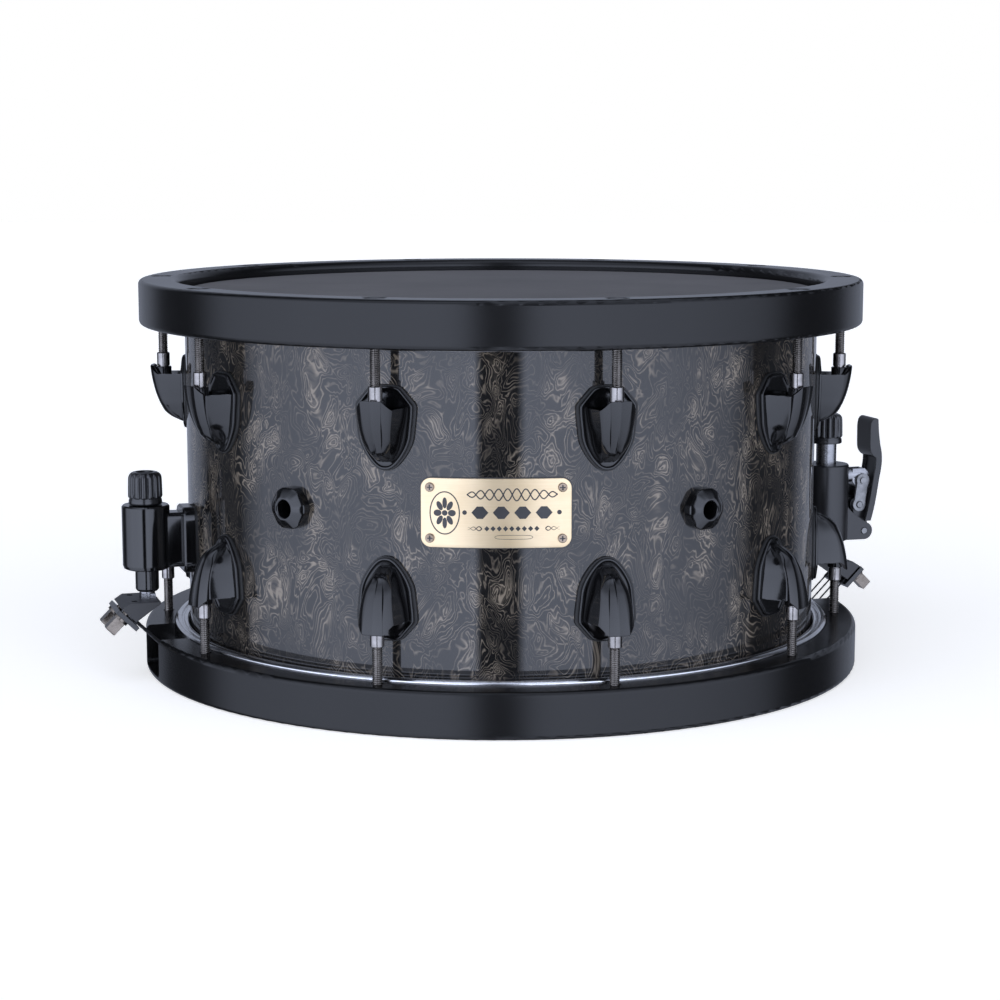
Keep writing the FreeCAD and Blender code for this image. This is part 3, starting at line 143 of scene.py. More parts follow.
table_finish, tree, out = new_material("pale_table")
table_skin = node(tree, "ShaderNodeBsdfDiffuse", Color=(0.86, 0.83, 0.78, 1))
table_glow = node(tree, "ShaderNodeEmission", Color=(1, 1, 0.98, 1), Strength=0.55)
table_sum = node(tree, "ShaderNodeAddShader", s0=table_skin.outputs[0], s1=table_glow.outputs[0])
tree.links.new(table_sum.outputs[0], out.inputs[0])
floor.data.materials.append(table_finish)

# The soft boxes, as brightness round the horizon: degrees from the camera's side, brightness on the left and right.
FAR_BOXES = [(130, 0.04), (140, 0.2), (180, 0.24)]
LEFT_BOXES = [(0, 0.0), (6, 0.0), (8.5, 1.4), (60, 1.2), (92, 0.75), (106, 0.03)] + FAR_BOXES
RIGHT_BOXES = [(0, 0.0), (6.5, 0.0), (9.5, 1.35), (60, 1.05), (88, 0.6), (102, 0.03)] + FAR_BOXES
# Their brightness from straight down (0) through level (0.5) to straight up (1).
BOX_HEIGHTS = [(0.0, 0.5), (0.35, 0.8), (0.5, 1.0), (0.72, 0.75), (0.86, 0.3), (1.0, 0.7)]
world = bpy.data.worlds.new("studio")
scene.world = world
world.use_nodes = True
tree = world.node_tree
tree.nodes.clear()
way = node(tree, "ShaderNodeTexCoord").outputs["Generated"]
parts = node(tree, "ShaderNodeSeparateXYZ", s0=way)
turn = math_node(tree, "ARCTAN2", parts.outputs[0], math_node(tree, "MULTIPLY", parts.outputs[1], -1.0))
around = math_node(tree, "DIVIDE", math_node(tree, "ABSOLUTE", turn), math.pi)
sides = []
for stops in (LEFT_BOXES, RIGHT_BOXES):
    sides.append(ramp(tree, around, [(place / 180.0, (bright / 2.0,) * 3) for place, bright in stops]))
on_right = math_node(tree, "GREATER_THAN", turn, 0.0)
glow = node(tree, "ShaderNodeMix", {"data_type": "RGBA"}, Factor=on_right)
tree.links.new(sides[0], glow.inputs[6])
tree.links.new(sides[1], glow.inputs[7])
lift = ramp(tree, math_node(tree, "MULTIPLY_ADD", parts.outputs[2], 0.5, 0.5),
            [(place, (bright,) * 3) for place, bright in BOX_HEIGHTS])
shaped = node(tree, "ShaderNodeMix", {"data_type": "RGBA", "blend_type": "MULTIPLY"}, Factor=1.0)
tree.links.new(glow.outputs[2], shaped.inputs[6])
tree.links.new(lift, shaped.inputs[7])
tinted = node(tree, "ShaderNodeMix", {"data_type": "RGBA", "blend_type": "MULTIPLY"}, Factor=1.0)
tree.links.new(shaped.outputs[2], tinted.inputs[6])
tinted.inputs[7].default_value = (0.80, 0.88, 1.10, 1)
seen = node(tree, "ShaderNodeLightPath").outputs["Is Camera Ray"]
studio = node(tree, "ShaderNodeBackground", s0=tinted.outputs[2], s1=4.0)
backdrop = node(tree, "ShaderNodeBackground", s0=(1, 1, 1, 1), s1=1.0)
both = node(tree, "ShaderNodeMixShader", s0=seen, s1=studio.outputs[0], s2=backdrop.outputs[0])
out = node(tree, "ShaderNodeOutputWorld", s0=both.outputs[0])

camera_data = bpy.data.cameras.new("camera")
camera_data.lens = 84.0
camera_data.sensor_width = 36.0
camera_data.clip_start = 0.01
camera = bpy.data.objects.new("camera", camera_data)
camera.location = (0.0171, -1.3178, 0.2932)
camera.rotation_euler = (math.radians(81.19), 0.0, math.radians(0.762))
scene.collection.objects.link(camera)
scene.camera = camera

# --------------------------------------------------------------------------------------------------
# Shell. Ten plies of maple bent to a 354 mm tube, veneered outside with smoke-stained burl under deep clear
# lacquer, with 45 degree bearing edges cut on both ends. It is bored for two vents.

MM = 0.001
shell_low, shell_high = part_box("shell")
SHELL_RADIUS = float(shell_high.x)
SHELL_BASE, SHELL_TOP = float(shell_low.z), float(shell_high.z)
DRUM_HEIGHT = SHELL_BASE + SHELL_TOP
SHELL_WALL = 7.5 * MM
SHELL_STEPS = 720
VENT_ANGLES = (-36, 36)
VENT_HEIGHT = DRUM_HEIGHT / 2 - 1.1 * MM
VENT_HOLE = 6.0 * MM
PATCH = 12


def spots(*axes):
    """Places from their three coordinates, which may be arrays of different shapes."""
    return np.stack(np.broadcast_arrays(*axes), axis=-1)


def facing_out(points, faces):
    """Turn every face over if the closed surface's volume, summed over its faces, comes out negative."""
    volume = 0.0
    for group in faces:
        for k in range(1, group.shape[1] - 1):
            a, b, c = points[group[:, 0]], points[group[:, k]], points[group[:, k + 1]]
            volume += np.einsum("ij,ij->", a, np.cross(b, c))
    return points, [group[:, ::-1] if volume < 0 else group for group in faces]


def grid_quads(rows, columns, ring):
    """Quads between neighbouring rows of a grid whose columns close on themselves; ring closes the rows too."""
    i = np.arange(rows if ring else rows - 1)[:, None]
    j = np.arange(columns)[None, :]
    i2, j2 = (i + 1) % rows, (j + 1) % columns
    corners = (i * columns + j, i2 * columns + j, i2 * columns + j2, i * columns + j2)
    return spots(*corners).reshape(-1, 4)


def skin_through(loops, first=None, last=None, ring=False):
    """Closed surface through rows of closed loops. First and last are the points that close its ends as fans."""
    rows, columns = loops.shape[:2]
    points, faces = loops.reshape(-1, 3), [grid_quads(rows, columns, ring)]
    j = np.arange(columns)
    for tip, row, way in ((first, 0, 1), (last, rows - 1, -1)):
        if tip is not None:
            rim = row * columns
            fan = [np.full(columns, len(points)), rim + j, rim + (j + 1) % columns]
            faces.append(np.stack(fan[::way], axis=-1))
            points = np.concatenate([points, np.reshape(tip, (1, 3))])
    return facing_out(points, faces)


def piece(name, shapes, finish, nodes=(), body="drum", crease=35.0, uv=None):
    """One object from closed shapes, riding on its body and standing for its CAD nodes. Edges sharper than the
    crease angle stay crisp. uv gives a place on the sheet for an array of points."""
    shift, points, groups = 0, [], []
    for vertices, faces in shapes:
        points.append(vertices)
        groups += [group + shift for group in faces]
        shift += len(vertices)
    points = np.concatenate(points)
    loops = np.concatenate([group.reshape(-1) for group in groups])
    sizes = np.concatenate([np.full(len(group), group.shape[1]) for group in groups])
    mesh = bpy.data.meshes.new(name)
    mesh.vertices.add(len(points))
    mesh.vertices.foreach_set("co", points.astype(np.float32).reshape(-1))
    mesh.loops.add(len(loops))
    mesh.loops.foreach_set("vertex_index", loops.astype(np.int32))
    mesh.polygons.add(len(sizes))
    mesh.polygons.foreach_set("loop_start", np.concatenate([[0], np.cumsum(sizes)[:-1]]).astype(np.int32))
    mesh.polygons.foreach_set("loop_total", sizes.astype(np.int32))
    if uv is not None:
        layer = mesh.uv_layers.new(name="surface")
        layer.data.foreach_set("uv", uv(points, loops).astype(np.float32).reshape(-1))
    mesh.update()
    mesh.validate()
    mesh.shade_smooth()
    mesh.set_sharp_from_angle(angle=math.radians(crease))
    made = bpy.data.objects.new(name, mesh)
    scene.collection.objects.link(made)
    mesh.materials.append(finish)
    if body:
        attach(made, body)
    if nodes:
        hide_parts(*nodes)
    return made


def object_place(tree):
    return node(tree, "ShaderNodeTexCoord").outputs["Object"]


BURL_TONES = [
    (0.0, (0.003, 0.0027, 0.0025)),
    (0.2, (0.013, 0.011, 0.009)),
    (0.5, (0.068, 0.056, 0.043)),
    (1.0, (0.21, 0.175, 0.135)),
]


def burl_veneer():
    """Burl figure. The sheet is bent by two noises, rounded cells on it are the eyes, and bands of equal distance
    from each eye draw its growth lines; short level flecks glow inside the eyes. Lacquer is the coat."""
    material, tree, out = new_material("burl_veneer")
    sheet = node(tree, "ShaderNodeUVMap", {"uv_map": "surface"}).outputs[0]
    tall = node(tree, "ShaderNodeMapping", Vector=sheet, Scale=(1.0, 0.64, 1.0))
    bent = tall.outputs[0]
    for scale, push in ((30.0, 0.022), (95.0, 0.0085), (330.0, 0.0011)):
        drift = noise(tree, bent, scale, 1.5, 0.5, "2D")
        centred = vector_math(tree, "SUBTRACT", drift.outputs[1], (0.5, 0.5, 0.5))
        bent = vector_math(tree, "MULTIPLY_ADD", centred, (push, push, 0.0), bent)
    rounded = {"voronoi_dimensions": "2D", "feature": "SMOOTH_F1"}
    cells = node(tree, "ShaderNodeTexVoronoi", rounded, Vector=bent, Scale=88.0, Smoothness=0.7, Randomness=1.0)
    hills = cells.outputs["Distance"]
    rough = noise(tree, bent, 120.0, 2.0, 0.5, "2D").outputs[0]
    height = math_node(tree, "MULTIPLY_ADD", rough, 0.55, hills)
    bands = math_node(tree, "PINGPONG", math_node(tree, "MULTIPLY", height, 9.5), 0.5)
    fine = noise(tree, bent, 520.0, 3.0, 0.7, "2D").outputs[0]
    line = smooth_step(tree, bands, 0.22, 0.5)
    fleck_way = node(tree, "ShaderNodeMapping", Vector=bent, Scale=(260.0, 1500.0, 1.0))
    flecks = noise(tree, fleck_way.outputs[0], 1.0, 2.0, 0.6, "2D").outputs[0]
    eye = smooth_step(tree, hills, 0.5, 0.16)
    patch = noise(tree, tall.outputs[0], 38.0, 2.0, 0.55, "2D").outputs[0]
    patchy = smooth_step(tree, patch, 0.36, 0.66)
    lines = math_node(tree, "MULTIPLY", line, math_node(tree, "MULTIPLY_ADD", patchy, 0.65, 0.55))
    lines = math_node(tree, "MULTIPLY", lines, math_node(tree, "MULTIPLY_ADD", fine, 1.0, 0.35))
    glow = math_node(tree, "MULTIPLY", eye, math_node(tree, "MULTIPLY_ADD", flecks, 1.6, -0.35, clamp=True))
    glow = math_node(tree, "MULTIPLY", glow, patchy)
    total = math_node(tree, "MULTIPLY_ADD", lines, 0.75, math_node(tree, "MULTIPLY", glow, 0.85), clamp=True)
    shade = ramp(tree, total, BURL_TONES)
    wood = node(tree, "ShaderNodeBsdfPrincipled", Base_Color=shade, Roughness=0.5)
    wood.inputs["Specular IOR Level"].default_value = 0.15
    wood.inputs["Coat Weight"].default_value = 1.0
    wood.inputs["Coat Roughness"].default_value = 0.012
    wood.inputs["Coat IOR"].default_value = 1.52
    tree.links.new(wood.outputs[0], out.inputs[0])
    return material


def shell_sheet(points, loops):
    """Place on the veneer: distance round the shell from the badge, and height. The joint is at the back."""
    corners = points[loops]
    around = np.arctan2(corners[:, 0], -corners[:, 1])
    face = around.reshape(-1, 4)
    crossing = (face.max(axis=1) - face.min(axis=1) > math.pi)[:, None]
    face = np.where(crossing & (face < 0), face + 2 * math.pi, face)
    return np.stack([face.reshape(-1) * SHELL_RADIUS + 3.0, corners[:, 2]], axis=1)


def shell_tube():
    """A wall profile carried round the drum. Round each vent a square of it is left out, outside and in, and rings
    run from the square's edge to a circle; a bore joins the two circles."""
    cell = 2 * math.pi * SHELL_RADIUS / SHELL_STEPS
    window = VENT_HEIGHT + (np.arange(PATCH + 1) - PATCH / 2) * cell
    below = np.linspace(SHELL_BASE + 3.45 * MM, window[0], 8)[:-1]
    above = np.linspace(window[-1], SHELL_TOP - 3.45 * MM, 8)[1:]
    levels = np.concatenate([below, window, above])
    inner, crest = SHELL_RADIUS - SHELL_WALL, SHELL_RADIUS - 2.7 * MM
    inside = levels.copy()
    inside[0], inside[-1] = SHELL_BASE + 4.8 * MM, SHELL_TOP - 4.8 * MM
    radius = np.concatenate([[crest], np.full(len(levels), SHELL_RADIUS), [crest], np.full(len(levels), inner)])
    height = np.concatenate([[SHELL_BASE], levels, [SHELL_TOP], inside[::-1]])
    count = len(radius)
    turn = np.arange(SHELL_STEPS)[:, None] * 2 * math.pi / SHELL_STEPS
    loops = spots(radius * np.sin(turn), -radius * np.cos(turn), height)
    quads = grid_quads(SHELL_STEPS, count, True).reshape(SHELL_STEPS, count, 4)
    points, kept, faces = [loops.reshape(-1, 3)], np.ones((SHELL_STEPS, count), bool), []
    total = SHELL_STEPS * count
    side = np.arange(PATCH)
    square = np.concatenate([
        np.stack([side, 0 * side], 1), np.stack([0 * side + PATCH, side], 1),
        np.stack([PATCH - side, 0 * side + PATCH], 1), np.stack([0 * side, PATCH - side], 1),
    ])
    offset = (square - PATCH / 2) * cell
    round_spot = offset / np.linalg.norm(offset, axis=1)[:, None] * VENT_HOLE
    for angle in VENT_ANGLES:
        middle = int(round(angle / 360 * SHELL_STEPS)) % SHELL_STEPS
        rims = []
        for wall, row, way in ((SHELL_RADIUS, 1 + len(below), 1), (inner, count - 1 - len(below), -1)):
            steps = (middle - PATCH // 2 + square[:, 0]) % SHELL_STEPS
            edge = steps * count + row + way * square[:, 1]
            open_rows = (row + way * np.arange(PATCH)) - (0 if way > 0 else 1)
            kept[np.ix_((middle - PATCH // 2 + side) % SHELL_STEPS, open_rows)] = False
            rings = [edge]
            for share in (0.4, 0.75, 1.0):
                spot = offset * (1 - share) + round_spot * share
                bend = math.radians(angle) + spot[:, 0] / SHELL_RADIUS
                ring = np.stack([wall * np.sin(bend), -wall * np.cos(bend), VENT_HEIGHT + spot[:, 1]], axis=1)
                points.append(ring)
                rings.append(total + np.arange(len(ring)))
                total += len(ring)
            for outer, near in zip(rings, rings[1:]):
                quad = np.stack([outer, np.roll(outer, -1), np.roll(near, -1), near], axis=1)
                faces.append(quad if way > 0 else quad[:, ::-1])
            rims.append(rings[-1])
        faces.append(np.stack([rims[0], np.roll(rims[0], -1), np.roll(rims[1], -1), rims[1]], axis=1))
    return facing_out(np.concatenate(points), [quads[kept][:, ::-1]] + faces)


piece("shell_tube", [shell_tube()], burl_veneer(), ["shell"], crease=25.0, uv=shell_sheet)

# --------------------------------------------------------------------------------------------------
# Heads. A black suede film on the batter side and a thin hazy film on the snare side, each drawn over its bearing
# edge and down into an aluminium flesh hoop.


def dress(names, finish):
    """Give CAD nodes a finish, keeping their meshes."""
    for name in names:
        mesh = cad_nodes[name].data
        mesh.materials.clear()
        mesh.materials.append(finish)


def head_film(name, light, dark, rough):
    """Film with a fine sprayed nap: speckled colour and gloss."""
    material, tree, out = new_material(name)
    place = object_place(tree)
    nap = noise(tree, place, 1500.0, 3.0, 0.7)
    cloud = noise(tree, place, 9.0, 4.0, 0.6)
    shade = ramp(tree, mixture(tree, nap, 0.5, cloud), [(0.35, dark), (0.65, light)])
    bump = relief(tree, nap.outputs[0], 0.25, 0.0001)
    surface(tree, out, shade, rough, bump, Specular_IOR_Level=0.3)
    return material


dress(["batter_head"], head_film("black_suede_film", (0.17, 0.16, 0.152), (0.108, 0.103, 0.099), 0.75))
dress(["snare_side_head"], head_film("hazy_film", (0.62, 0.62, 0.62), (0.52, 0.52, 0.53), 0.3))

# --------------------------------------------------------------------------------------------------
# Flesh hoops. Turned aluminium hoops that grip the film; the lower one shows as a bright ring above its hoop.

_, flesh_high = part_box("snare_side_flesh_hoop")
flesh_outer = float(flesh_high.x)
flesh_top = float(flesh_high.z)
FLESH_SECTION = [
    (-7.05, -10.6, 0.3), (0.0, -10.6, 0.3), (0.0, -1.2, 0.8), (-1.5, 0.0, 0.9), (-3.4, 0.0, 0.5),
    (-3.9, -1.2, 0.25), (-4.8, -1.2, 0.25), (-5.2, -0.6, 0.3), (-7.05, -0.9, 0.3),
]


def rounded_corners(corners, arc=4):
    """Closed outline with its corners rounded: each (x, y, radius) becomes an arc of that radius."""
    corners = np.asarray(corners, float)
    out = []
    for k in range(len(corners)):
        here, radius = corners[k, :2], corners[k, 2]
        before, after = corners[k - 1, :2] - here, corners[(k + 1) % len(corners), :2] - here
        before, after = before / np.linalg.norm(before), after / np.linalg.norm(after)
        half = np.arccos(np.clip(before @ after, -1, 1)) / 2
        middle = here + (before + after) / np.linalg.norm(before + after) * radius / np.sin(half)
        start, end = (here + way * radius / np.tan(half) - middle for way in (before, after))
        first, last = np.arctan2(start[1], start[0]), np.arctan2(end[1], end[0])
        bend = first + ((last - first + np.pi) % (2 * np.pi) - np.pi) * np.linspace(0, 1, arc)
        out.append(middle + radius * np.stack([np.cos(bend), np.sin(bend)], axis=1))
    return np.concatenate(out)


def hooped(section, steps=720):
    """Section of (radius, height) points carried round the drum's axis: x = r sin a, y = -r cos a."""
    turn = np.arange(steps)[:, None] * 2 * math.pi / steps
    r, z = section[:, 0], section[:, 1]
    return skin_through(spots(r * np.sin(turn), -r * np.cos(turn), z), ring=True)


def turned_aluminium():
    """Aluminium with lathe rings: bands of equal radius in gloss and bump, and light wear."""
    material, tree, out = new_material("turned_aluminium")
    place = object_place(tree)
    parts = node(tree, "ShaderNodeSeparateXYZ", s0=place)
    square = math_node(tree, "ADD", *(math_node(tree, "POWER", parts.outputs[k], 2.0) for k in (0, 1)))
    lift = math_node(tree, "MULTIPLY_ADD", parts.outputs[2], 0.7, math_node(tree, "SQRT", square))
    bands = math_node(tree, "MULTIPLY", lift, 4200.0)
    rings = node(tree, "ShaderNodeTexNoise", {"noise_dimensions": "1D"}, W=bands, Scale=1.0, Detail=2.0)
    wear = noise(tree, place, 240.0, 4.0, 0.7)
    bump = relief(tree, rings.outputs[0], 0.35, 0.00008)
    shade = ramp(tree, wear.outputs[0], [(0.3, (0.66, 0.66, 0.67)), (0.7, (0.84, 0.84, 0.85))])
    gloss = node(tree, "ShaderNodeMapRange", Value=rings.outputs[0], To_Min=0.1, To_Max=0.26)
    surface(tree, out, shade, gloss.outputs[0], bump, Metallic=1.0)
    return material


aluminium = turned_aluminium()
lower_section = rounded_corners(FLESH_SECTION) * MM + [flesh_outer, flesh_top]
upper_section = lower_section * [1, -1] + [0, DRUM_HEIGHT]
piece("lower_flesh_ring", [hooped(lower_section)], aluminium, ["snare_side_flesh_hoop"])
piece("upper_flesh_ring", [hooped(upper_section)], aluminium, ["batter_flesh_hoop"])

# --------------------------------------------------------------------------------------------------
# Hoops. Thick bent maple, lacquered satin black, with rounded edges, counterbored for the rods' steel cups.

def satin_hoop():
    """Satin lacquer over close-grained maple: faint grain round the hoop, fine pores."""
    material, tree, out = new_material("satin_black_hoop")
    place = object_place(tree)
    slow = noise(tree, place, 14.0, 4.0, 0.6)
    grain = node(tree, "ShaderNodeMapping", Vector=place, Scale=(60.0, 60.0, 1400.0))
    pores = noise(tree, grain.outputs[0], 1.0, 3.0, 0.6)
    speck = noise(tree, place, 2200.0, 2.0)
    tones = [(0.35, (0.0022, 0.0022, 0.0023)), (0.65, (0.0042, 0.004, 0.004))]
    shade = ramp(tree, mixture(tree, pores, 0.4, slow), tones)
    gloss = node(tree, "ShaderNodeMapRange", Value=slow.outputs[0], To_Min=0.2, To_Max=0.27)
    bump = relief(tree, speck.outputs[0], 0.12, 0.0001)
    surface(tree, out, shade, gloss.outputs[0], bump, Specular_IOR_Level=0.36)
    return material


dress(["batter_hoop", "snare_side_hoop"], satin_hoop())

# --------------------------------------------------------------------------------------------------
# Hoop cups, swivel nuts and mounting screws. Turned and nickelled steel: a cup pressed into the hoop under each
# rod, a nut with a bright collar in the mouth of each lug, and pan head screws inside the shell.

def plated(name, dark, light, rough, grain=(500.0, 500.0, 2500.0), edge=0.00015):
    """Plated or bare metal: fine turning lines stretched across the grain in gloss and bump, cloudy tarnish."""
    material, tree, out = new_material(name)
    place = object_place(tree)
    stretched = node(tree, "ShaderNodeMapping", Vector=place, Scale=grain)
    lines = noise(tree, stretched.outputs[0], 1.0, 4.0, 0.65)
    cloud = noise(tree, place, 160.0, 4.0, 0.65)
    soft = node(tree, "ShaderNodeBevel", {"samples": 4}, Radius=edge)
    bump = relief(tree, lines.outputs[0], 0.25, 0.00005)
    tree.links.new(soft.outputs[0], bump.inputs["Normal"])
    shade = ramp(tree, cloud.outputs[0], [(0.3, dark), (0.7, light)])
    range_of = {"From_Min": 0.3, "From_Max": 0.7, "To_Min": rough * 0.7, "To_Max": rough * 1.5}
    gloss = node(tree, "ShaderNodeMapRange", Value=lines.outputs[0], **range_of)
    surface(tree, out, shade, gloss.outputs[0], bump, Metallic=1.0)
    return material


nickel = plated("bright_nickel", (0.20, 0.19, 0.18), (0.33, 0.31, 0.30), 0.16)
dress(["swivel_nuts", "mounting_screws", "vent_nuts"], nickel)
dress(["hoop_inserts"], plated("cup_steel", (0.10, 0.10, 0.10), (0.16, 0.16, 0.16), 0.3))

# --------------------------------------------------------------------------------------------------
# Lugs. Hollow zinc castings, gloss black: a six-faced body with rolled creases on a rimmed base plate, a nut seat
# in its mouth, and a thin rubber gasket behind. Ten at each end, the lower ones upside down.

ROD_OUT = 14.4
ROD_ANGLES = 18 + 36 * np.arange(10)
LUG_BEAK, LUG_LENGTH, LUG_REACH, LUG_HALF = 50.3, 31.8, 20.9, 12.2
LUG_STATIONS = np.array([-0.02, 0.14, 0.33, 0.53, 0.70, 0.845, 0.945, 1.0])
LUG_SIDE = np.array([1.02, 0.99, 0.93, 0.83, 0.73, 0.575, 0.40, 0.26])
LUG_CREASE = np.array([0.81, 0.79, 0.73, 0.655, 0.575, 0.43, 0.32, 0.20])
LUG_FRONT = np.array([0.455, 0.425, 0.38, 0.32, 0.265, 0.22, 0.17, 0.11])
LUG_CREASE_OUT = np.array([0.77, 0.765, 0.755, 0.70, 0.595, 0.42, 0.24, 0.145])
LUG_FRONT_OUT = np.array([1.010, 0.985, 0.935, 0.855, 0.75, 0.605, 0.38, 0.185])
PLATE_FACE, PLATE_HALF, GASKET_HALF, GASKET = 2.9, 14.9, 15.7, 1.5


def round_drum(points, angle, top):
    """Points given in mm as (sideways, outside the shell, depth from the hoop's outer face), stood on the drum at
    an angle; the same piece serves the top end, and upside down the lower one."""
    turn = math.radians(angle)
    t, r = points[..., 0] * MM, SHELL_RADIUS + points[..., 1] * MM
    depth = points[..., 2] * MM
    z = DRUM_HEIGHT - depth if top else depth
    return spots(t * math.cos(turn) + r * math.sin(turn), t * math.sin(turn) - r * math.cos(turn), z)


def eased(share, values):
    """Smooth curve through the stations, by cubic pieces with slopes from the neighbours."""
    slopes = np.gradient(values, LUG_STATIONS)
    k = np.clip(np.searchsorted(LUG_STATIONS, share) - 1, 0, len(LUG_STATIONS) - 2)
    width = LUG_STATIONS[k + 1] - LUG_STATIONS[k]
    u = (share - LUG_STATIONS[k]) / width
    a, b = values[k], values[k + 1]
    leaving = ((1 + 2 * u) * a + u * width * slopes[k]) * (1 - u) ** 2
    return leaving + ((3 - 2 * u) * b + (u - 1) * width * slopes[k + 1]) * u ** 2


def lug_wall(share, inset):
    """Section loops at an array of shares of the length: corners at foot, crease and front, the side faces a little
    hollow, the next ones a little full, the front ridged, then blended so that each crease rolls over."""
    widths = ((LUG_SIDE, 1), (LUG_CREASE, 0.95), (LUG_FRONT, 0.55))
    side, crease, front = (eased(share, line) * LUG_HALF - part * inset for line, part in widths)
    reaches = ((LUG_CREASE_OUT, 0.75), (LUG_FRONT_OUT, 1.0))
    crease_out, front_out = (eased(share, line) * LUG_REACH - part * inset for line, part in reaches)
    foot = np.full_like(share, 2.0)
    ridge = np.zeros_like(share)
    across = np.stack([side, crease, front, ridge, -front, -crease, -side], axis=-1)
    outwards = np.stack([foot, crease_out, front_out, front_out + 0.6, front_out, crease_out, foot], axis=-1)
    s = np.concatenate([k + 0.5 - 0.5 * np.cos(np.pi * np.arange(14) / 14) for k in range(6)] + [[6.0]])
    k = np.minimum(s.astype(int), 5)
    u = s - k
    hollow = np.array([-0.5, 0.55, -0.15, -0.15, 0.55, -0.5])[k] * 4 * u * (1 - u) * (1 if inset == 0 else 0)
    t = across[..., k] * (1 - u) + across[..., k + 1] * u
    r = outwards[..., k] * (1 - u) + outwards[..., k + 1] * u
    run_t, run_r = across[..., k + 1] - across[..., k], outwards[..., k + 1] - outwards[..., k]
    long = np.maximum(np.hypot(run_t, run_r), 1e-6)
    t, r = t + hollow * run_r / long, r - hollow * run_t / long
    for _ in range(2):
        t[..., 1:-1] = 0.25 * t[..., :-2] + 0.5 * t[..., 1:-1] + 0.25 * t[..., 2:]
        r[..., 1:-1] = 0.25 * r[..., :-2] + 0.5 * r[..., 1:-1] + 0.25 * r[..., 2:]
    return t, r


def lug_body():
    """Outer wall from rim to toe and inner wall from rim to floor, one loop of points per level. The rim is level
    across the front and drops at the sides, so each point's levels are spread between its own rim and the toe."""
    rim_t, _ = lug_wall(np.zeros(1), 0.0)
    drop = np.clip((np.abs(rim_t[0]) - 0.47 * LUG_HALF) / (0.32 * LUG_HALF), 0, 1) * 4.5 / LUG_LENGTH
    levels = np.concatenate([[0.0, 0.006, 0.02], np.linspace(0.05, 0.995, 36)])
    rows = []
    for inset, spread in ((1.6, np.linspace(0.52, 0.0, 9)), (0.8, [-0.012]), (0.35, [-0.012]), (0.0, levels)):
        for v in spread:
            share = drop + v * (1 - drop) if inset < 1 else np.maximum(drop, v) + 0.0 * drop
            columns_t, columns_r = lug_wall(np.clip(share, -0.02, 1.0), inset)
            pick = np.arange(columns_t.shape[-1])
            rows.append(spots(columns_t[pick, pick], columns_r[pick, pick], LUG_BEAK + share * LUG_LENGTH))
    floor = np.array([0.0, 9.0, LUG_BEAK + 0.52 * LUG_LENGTH])
    toe = np.array([0.0, 2.4, LUG_BEAK + 1.005 * LUG_LENGTH])
    return np.stack(rows), floor, toe


def shield(half, grow):
    """Outline of the base plate: straight sides from a pointed crown, a curved toe, spread by `grow`."""
    sides = np.array([(0.0, -6.1), (0.30, -6.0), (0.53, -5.0), (1.0, 3.2), (0.99, 8.0), (0.92, 17.4)])
    toe = np.array([(0.92, 17.4), (0.80, 24.2), (0.57, 30.0), (0.31, 34.2), (0.0, 35.7)])
    pace = np.linspace(0, 5, 41)
    right = np.stack([np.interp(pace, np.arange(6), sides[:, k]) for k in (0, 1)], axis=1)
    u = np.linspace(0, 1, 30)[1:]
    basis = np.polynomial.polynomial.polyfit(np.linspace(0, 1, 5), toe, 4)
    curve = np.polynomial.polynomial.polyval(u, basis).T
    right = np.concatenate([right, curve]) * [half, 1.0] + [0, LUG_BEAK]
    loop = np.concatenate([right, (right * [-1, 1])[-2:0:-1]])
    for _ in range(2):
        loop = 0.25 * np.roll(loop, 1, 0) + 0.5 * loop + 0.25 * np.roll(loop, -1, 0)
    ahead = np.roll(loop, -1, 0) - np.roll(loop, 1, 0)
    outside = np.stack([-ahead[:, 1], ahead[:, 0]], axis=1) / np.hypot(*ahead.T)[:, None]
    return loop - outside * grow


def on_shell(loop, lift):
    """Outline laid on the shell's curve, that far outside it."""
    wall = SHELL_RADIUS / MM
    return np.stack([loop[:, 0], np.sqrt((wall + lift) ** 2 - loop[:, 0] ** 2) - wall, loop[:, 1]], axis=1)


def flat_on(loop, out):
    return np.stack([loop[:, 0], np.full(len(loop), out), loop[:, 1]], axis=1)


# Steps of the plate's rim: outline spread, and how far below the plate's face.
PLATE_RIM = [
    (0.0, 0.55), (-0.15, 0.2), (-0.45, 0.0), (-1.0, 0.0), (-1.25, 0.15), (-1.5, 0.6), (-1.9, 0.85), (-4.0, 0.9),
]


def lug_plate():
    face = PLATE_FACE
    rows = [on_shell(shield(PLATE_HALF, -2.0), GASKET), on_shell(shield(PLATE_HALF, -0.25), GASKET)]
    for grow, below in PLATE_RIM:
        rows.append(flat_on(shield(PLATE_HALF, grow), face - below))
    middle = LUG_BEAK + 14.0
    return np.stack(rows), np.array([0.0, GASKET, middle]), np.array([0.0, face - 0.9, middle])


def turned_rod(profile, steps, across=0.0, out=ROD_OUT):
    """Loops of (radius, depth) about an axis parallel to the drum's."""
    profile = np.asarray(profile, float)
    turn = np.arange(steps) * 2 * math.pi / steps
    r = profile[:, :1]
    return spots(across + r * np.cos(turn), out + r * np.sin(turn), profile[:, 1:])


